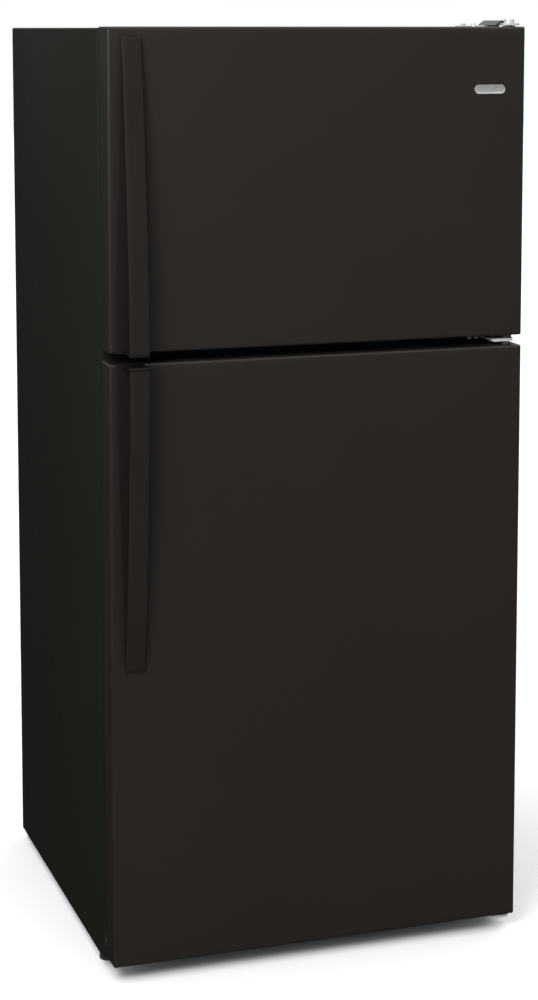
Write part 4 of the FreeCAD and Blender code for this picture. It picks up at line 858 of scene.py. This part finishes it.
mouths = {
    "freezer_door": (FREEZER_HALF, FREEZER_FLOOR, FREEZER_CEILING),
    "fridge_door": (FRIDGE_HALF, FRIDGE_FLOOR, FRIDGE_CEILING),
}
for door, (mouth_half, mouth_floor, mouth_ceiling) in mouths.items():
    half = mouth_half - RING_GAP
    loops = door_lining(door + "_liner", half, mouth_floor + RING_GAP, mouth_ceiling - RING_GAP)
    fit(formed_sheet(door + "_lining", loops, half, 1), WHITE, door, door + "_liner")
for door in mouths:
    fit(eased(door + "_bushings", 0.0004), NYLON, door, door + "_bushings")

# ---------------------------------------------------------------- seals
# Each seal is an extruded strip with a magnet in its face and a bellows behind it, mitred
# and welded at its corners.

SEAL_WIDTH = 18 * MM


def seal_vinyl():
    """Dark grey vinyl of the door seals."""
    vinyl = Finish("seal_vinyl", (0.035, 0.035, 0.034), 0.55)
    vinyl.tint(vinyl.noise(15.0), (0.028, 0.028, 0.027), (0.045, 0.045, 0.043))
    vinyl.relief(vinyl.noise(400.0), 0.00008, 0.4)
    return vinyl.material


def seal(node):
    """One closed profile round the door, given as shares of the seal's width and height."""
    low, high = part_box(node)
    across = [0.1, 0.06, 0.16, 0.05, 0, 0, 0.05, 0.78, 0.84, 0.84, 0.72, 0.9, 1.0, 0.96]
    up = np.array([0, 0.22, 0.36, 0.5, 0.62, 0.92, 1, 1, 0.92, 0.62, 0.5, 0.36, 0.16, 0])
    depth = low.y + up * (high.y - low.y)
    profile = np.column_stack([np.array(across) * SEAL_WIDTH, depth])
    return skin(node + "_strip", framed(low, high, 0.5 * MM, profile, 1), wrap=True, sharp=40)


SEAL = seal_vinyl()
for door in ("freezer_door", "fridge_door"):
    fit(seal(door + "_gasket"), SEAL, door, door + "_gasket")

# ---------------------------------------------------------------- door bins
# Clear bins hang between the sides of the lining's ring, and a closed box with a flap holds
# the butter.

BIN_CORNER = 12 * MM
FREEZER_BIN_LEVELS = (1.185, 1.385)
FRIDGE_BIN_LEVELS = (0.345, 0.545, 0.740)


def bins(node, levels):
    """One rounded tub from each level up, all as high as the top one."""
    low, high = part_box(node)
    height = high.z - levels[-1]
    tubs = [tub_loops((low.x, low.y, z), (high.x, high.y, z + height), BIN_CORNER) for z in levels]
    return skin(node + "_tubs", *tubs, sharp=50)


for door, levels in (("freezer_door", FREEZER_BIN_LEVELS), ("fridge_door", FRIDGE_BIN_LEVELS)):
    fit(bins(door + "_bins", levels), STYRENE, door, door + "_bins")
fit(eased("butter_box", 0.0006), STYRENE, "fridge_door", "butter_box")
fit(eased("butter_lid", 0.0006), STYRENE, "butter_flap", "butter_lid")

# ---------------------------------------------------------------- handles
# Each pull is one black moulding screwed to the door near its free edge. It stands highest
# where the doors meet and runs out almost flush. It is open towards the edge for the
# fingers. The inside of that channel and its end wall are painted nearly black as the shade
# that falls in the recess, and have a rougher grain.

FACE_LEFT = -355 * MM
FACE_RIGHT = -320 * MM
PULL_WALL = 4.0 * MM
PULL_BASE = 3.0 * MM
PULL_LIP = 11.5 * MM
PULL_EDGE = 9 * MM
PULL_HEIGHTS = np.array([50 * MM, 47.5 * MM, 40 * MM, 29 * MM, 18 * MM, 7 * MM])
PULL_PLACES = np.array([0.0, 0.18, 0.4, 0.65, 0.86, 1.0])


def pocket_grain_and_shade():
    """Painted shade of the channel's matt inside: nearly black, with a rough grain."""
    pocket_shade = Finish("pocket_grain_and_shade", (0.0055, 0.0045, 0.0036), 0.7)
    pocket_shade.tint(pocket_shade.noise(40.0), (0.0052, 0.0042, 0.0034), (0.0058, 0.0048, 0.0038))
    pocket_shade.relief(pocket_shade.noise(900.0), 0.00008, 0.6)
    pocket_shade.gloss(0.1)
    return pocket_shade.material


def rise_along(t):
    """Height of the pull above the door, t being 0 at the gap and 1 at the far end.

    Cubic pieces join the named heights, each with the slope of its neighbours.
    """
    slopes = np.gradient(PULL_HEIGHTS, PULL_PLACES)
    index = np.clip(np.searchsorted(PULL_PLACES, t, side="right") - 1, 0, len(PULL_PLACES) - 2)
    width = PULL_PLACES[index + 1] - PULL_PLACES[index]
    s = (t - PULL_PLACES[index]) / width
    near = (2 * s**3 - 3 * s**2 + 1) * PULL_HEIGHTS[index]
    near += (s**3 - 2 * s**2 + s) * width * slopes[index]
    far = (3 * s**2 - 2 * s**3) * PULL_HEIGHTS[index + 1]
    far += (s**3 - s**2) * width * slopes[index + 1]
    return np.minimum(near + far, PULL_HEIGHTS[0])


def pull_loops(face, gap_z, far_z):
    """Pull: an outline of a channel open to the left, carried from the gap to the far end.

    Every distance in the outline is a function of the way along: the rise, the lip's reach,
    and edge radii that shrink where the rise does.
    """
    t = np.concatenate([[0.0, 0.003], np.linspace(0.008, 0.992, 70), [0.997, 1.0]])
    rise = rise_along(t)
    rise = rise - np.where((t < 0.001) | (t > 0.999), 0.8 * MM, 0)
    lip = PULL_LIP * np.interp(t, [0, 0.2, 0.6, 1], [1, 1, 0.45, 0])
    hollow = np.maximum(rise - PULL_WALL, PULL_BASE + 0.05 * MM)
    ease = np.minimum(3.0 * MM, (rise - PULL_BASE) * 0.45)
    small = np.minimum(1.0 * MM, (rise - hollow) * 0.3)
    wall = FACE_RIGHT - PULL_WALL
    zero = np.zeros_like(t)
    left = FACE_LEFT + zero
    x = [left - lip, left - lip, left - lip + 0.8 * MM, wall - 2 * small]
    up = [zero, zero + PULL_BASE * 0.7, zero + PULL_BASE, zero + PULL_BASE]
    x += [wall + zero, wall + zero, wall - 2 * small, left + small]
    up += [PULL_BASE + 0.02 * small, hollow - 0.02 * small, hollow, hollow]
    x += [left, left, left + 0.3 * small, left + small]
    up += [hollow + small, rise - small, rise - 0.3 * small, rise]
    x += [left + PULL_EDGE, FACE_RIGHT - PULL_EDGE + zero]
    up += [rise, rise]
    for turn in np.linspace(0, math.pi / 2, 5):
        x.append(FACE_RIGHT - ease + ease * math.sin(turn))
        up.append(rise - ease + ease * math.cos(turn))
    x.append(FACE_RIGHT + zero)
    up.append(zero)
    x, up = np.array(x).T, np.array(up).T
    z = np.broadcast_to((gap_z + (far_z - gap_z) * t)[:, None], x.shape)
    return np.stack([x, face - up, z], axis=-1)


def end_wall_loops(loops, way):
    """Solid wall that closes the channel at the gap: the outline without its hollow."""
    keep = [0, 1, 2] + list(range(9, loops.shape[1]))
    first = loops[1][keep].copy()
    first[2] = (FACE_LEFT + 0.5 * MM, first[2][1], first[2][2])
    second = first + np.array([0, 0, way * PULL_WALL])
    return np.stack([first, second])


def in_channel(x, up, along):
    """True left of the outer wall, above the base and below the face's inner side."""
    left_of_wall = x < FACE_RIGHT - PULL_WALL + 0.5 * MM
    above_base = up > PULL_BASE - 0.2 * MM
    below_face = up < rise_along(np.clip(along, 0, 1)) - PULL_WALL + 0.6 * MM
    return left_of_wall & above_base & below_face


POCKET_SHADE = pocket_grain_and_shade()
door_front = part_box("freezer_door_shell")[0].y
for door, way in (("freezer_door", 1), ("fridge_door", -1)):
    handle = door + "_handle"
    low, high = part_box(handle)
    gap_z, far_z = (low.z, high.z) if way > 0 else (high.z, low.z)
    loops = pull_loops(door_front, gap_z, far_z)
    pull = skin(door + "_pull", loops, sharp=50)
    fit(pull, BLACK_PLASTIC, door, handle)
    span = far_z - gap_z
    # The faces inside the channel get the nearly black painted shade.
    paint_where(pull, POCKET_SHADE, lambda x, y, z: in_channel(x, door_front - y, (z - gap_z) / span))
    # The end wall at the gap is painted shade too, dark like the channel.
    wall = skin(door + "_pull_end", end_wall_loops(loops, way), sharp=50)
    fit(wall, POCKET_SHADE, door, slot=handle)

# ---------------------------------------------------------------- badge
# A small blank plate of satin metal stands near the freezer door's upper right corner, with
# a raised rim.


def satin_chrome():
    """Satin bright metal with a fine grain along its length."""
    plate = Finish("satin_badge_metal", (0.46, 0.455, 0.445), 0.36, 0.6)
    plate.tint(plate.noise(60.0), (0.41, 0.405, 0.395), (0.51, 0.505, 0.495))
    plate.relief(plate.noise(1500.0, 2.0, (0.04, 1, 1)), 0.00003, 0.5)
    return plate.material


def badge_plate():
    """Oval plate: its height follows the inset, up to a rim and down to a flat middle."""
    low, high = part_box("badge")
    inset = np.array([0.0, 0.0, 0.3, 0.9, 1.5, 2.0, 5.0]) * MM
    proud = np.array([0.0, 0.9, 1.4, 1.5, 1.3, 0.9, 0.9]) * MM
    profile = np.column_stack([inset, high.y - proud])
    return skin("badge_plate", framed(low, high, 8 * MM, profile, 10), sharp=60)


fit(badge_plate(), satin_chrome(), "freezer_door", "badge")

# ---------------------------------------------------------------- studio
# A wide pale floor, one large soft lamp in front on the upper left, and a sky that is bright
# overhead and dark below, as black cloths round the set would leave it. The floor isn't seen
# in the paint's reflections, so the black doors stay black.


def studio_floor():
    """Wide flat floor under the appliance, as a grid of points at height zero."""
    x, y = np.meshgrid(np.linspace(-30, 30, 3), np.linspace(-30, 30, 3))
    grid = np.stack([x, y, np.zeros_like(x)], axis=-1)
    index = np.arange(9).reshape(3, 3)
    quads = np.stack([index[:-1, :-1], index[:-1, 1:], index[1:, 1:], index[1:, :-1]], axis=-1)
    mesh = bpy.data.meshes.new("studio_floor")
    mesh.from_pydata(grid.reshape(-1, 3).tolist(), [], quads.reshape(-1, 4).tolist())
    floor = bpy.data.objects.new("studio_floor", mesh)
    bpy.context.scene.collection.objects.link(floor)
    paper = Finish("studio_paper", (0.9, 0.9, 0.9), 0.9)
    paper.tint(paper.noise(0.6), (0.89, 0.89, 0.89), (0.91, 0.91, 0.91))
    paper.gloss(0.0)
    floor.data.materials.append(paper.material)
    floor.visible_glossy = False


def soft_lamp(name, place, aim, size, power):
    """Square area lamp that faces a point."""
    data = bpy.data.lights.new(name, "AREA")
    data.shape = "SQUARE"
    data.size = size
    data.energy = power
    lamp = bpy.data.objects.new(name, data)
    lamp.location = place
    lamp.visible_camera = False
    lamp.rotation_euler = (Vector(aim) - Vector(place)).to_track_quat("-Z", "Y").to_euler()
    bpy.context.scene.collection.objects.link(lamp)


def studio_sky():
    """Sky whose strength runs from the horizon up to the zenith; seen directly it is white."""
    sky = bpy.data.worlds.new("studio_sky")
    sky.use_nodes = True
    tree = sky.node_tree
    place = tree.nodes.new("ShaderNodeTexCoord")
    split = tree.nodes.new("ShaderNodeSeparateXYZ")
    tree.links.new(place.outputs["Generated"], split.inputs["Vector"])
    shade = tree.nodes.new("ShaderNodeMapRange")
    limits = {"From Min": 0.0, "From Max": 0.9, "To Min": 0.02, "To Max": 1.85}
    for socket, value in limits.items():
        shade.inputs[socket].default_value = value
    tree.links.new(split.outputs["Z"], shade.inputs["Value"])
    glow = tree.nodes["Background"]
    glow.inputs["Color"].default_value = (1, 1, 1, 1)
    tree.links.new(shade.outputs["Result"], glow.inputs["Strength"])
    plain = tree.nodes.new("ShaderNodeBackground")
    plain.inputs["Color"].default_value = (1, 1, 1, 1)
    rays = tree.nodes.new("ShaderNodeLightPath")
    mix = tree.nodes.new("ShaderNodeMixShader")
    tree.links.new(rays.outputs["Is Camera Ray"], mix.inputs["Fac"])
    tree.links.new(glow.outputs["Background"], mix.inputs[1])
    tree.links.new(plain.outputs["Background"], mix.inputs[2])
    tree.links.new(mix.outputs["Shader"], tree.nodes["World Output"].inputs["Surface"])
    bpy.context.scene.world = sky


studio_floor()
studio_sky()
soft_lamp("key_lamp", (-1.7, -2.3, 2.4), (-0.3, -0.35, 1.4), 1.3, 60)
bpy.context.scene.view_settings.view_transform = "Standard"

# ---------------------------------------------------------------- camera
# It stands at the front left, just under the appliance's top, and looks a little down with a
# long lens. The lens is shifted so that the base and the top both lie in the frame.

lens = bpy.data.cameras.new("camera")
lens.lens = 78.8
lens.sensor_width = 36.0
lens.shift_y = -0.22
lens.clip_end = 200
camera = bpy.data.objects.new("camera", lens)
camera.location = (-1.273, -3.869, 1.645)
camera.rotation_euler = (math.radians(90 - 6.56), 0, math.radians(-18.49))
bpy.context.scene.collection.objects.link(camera)
bpy.context.scene.camera = camera
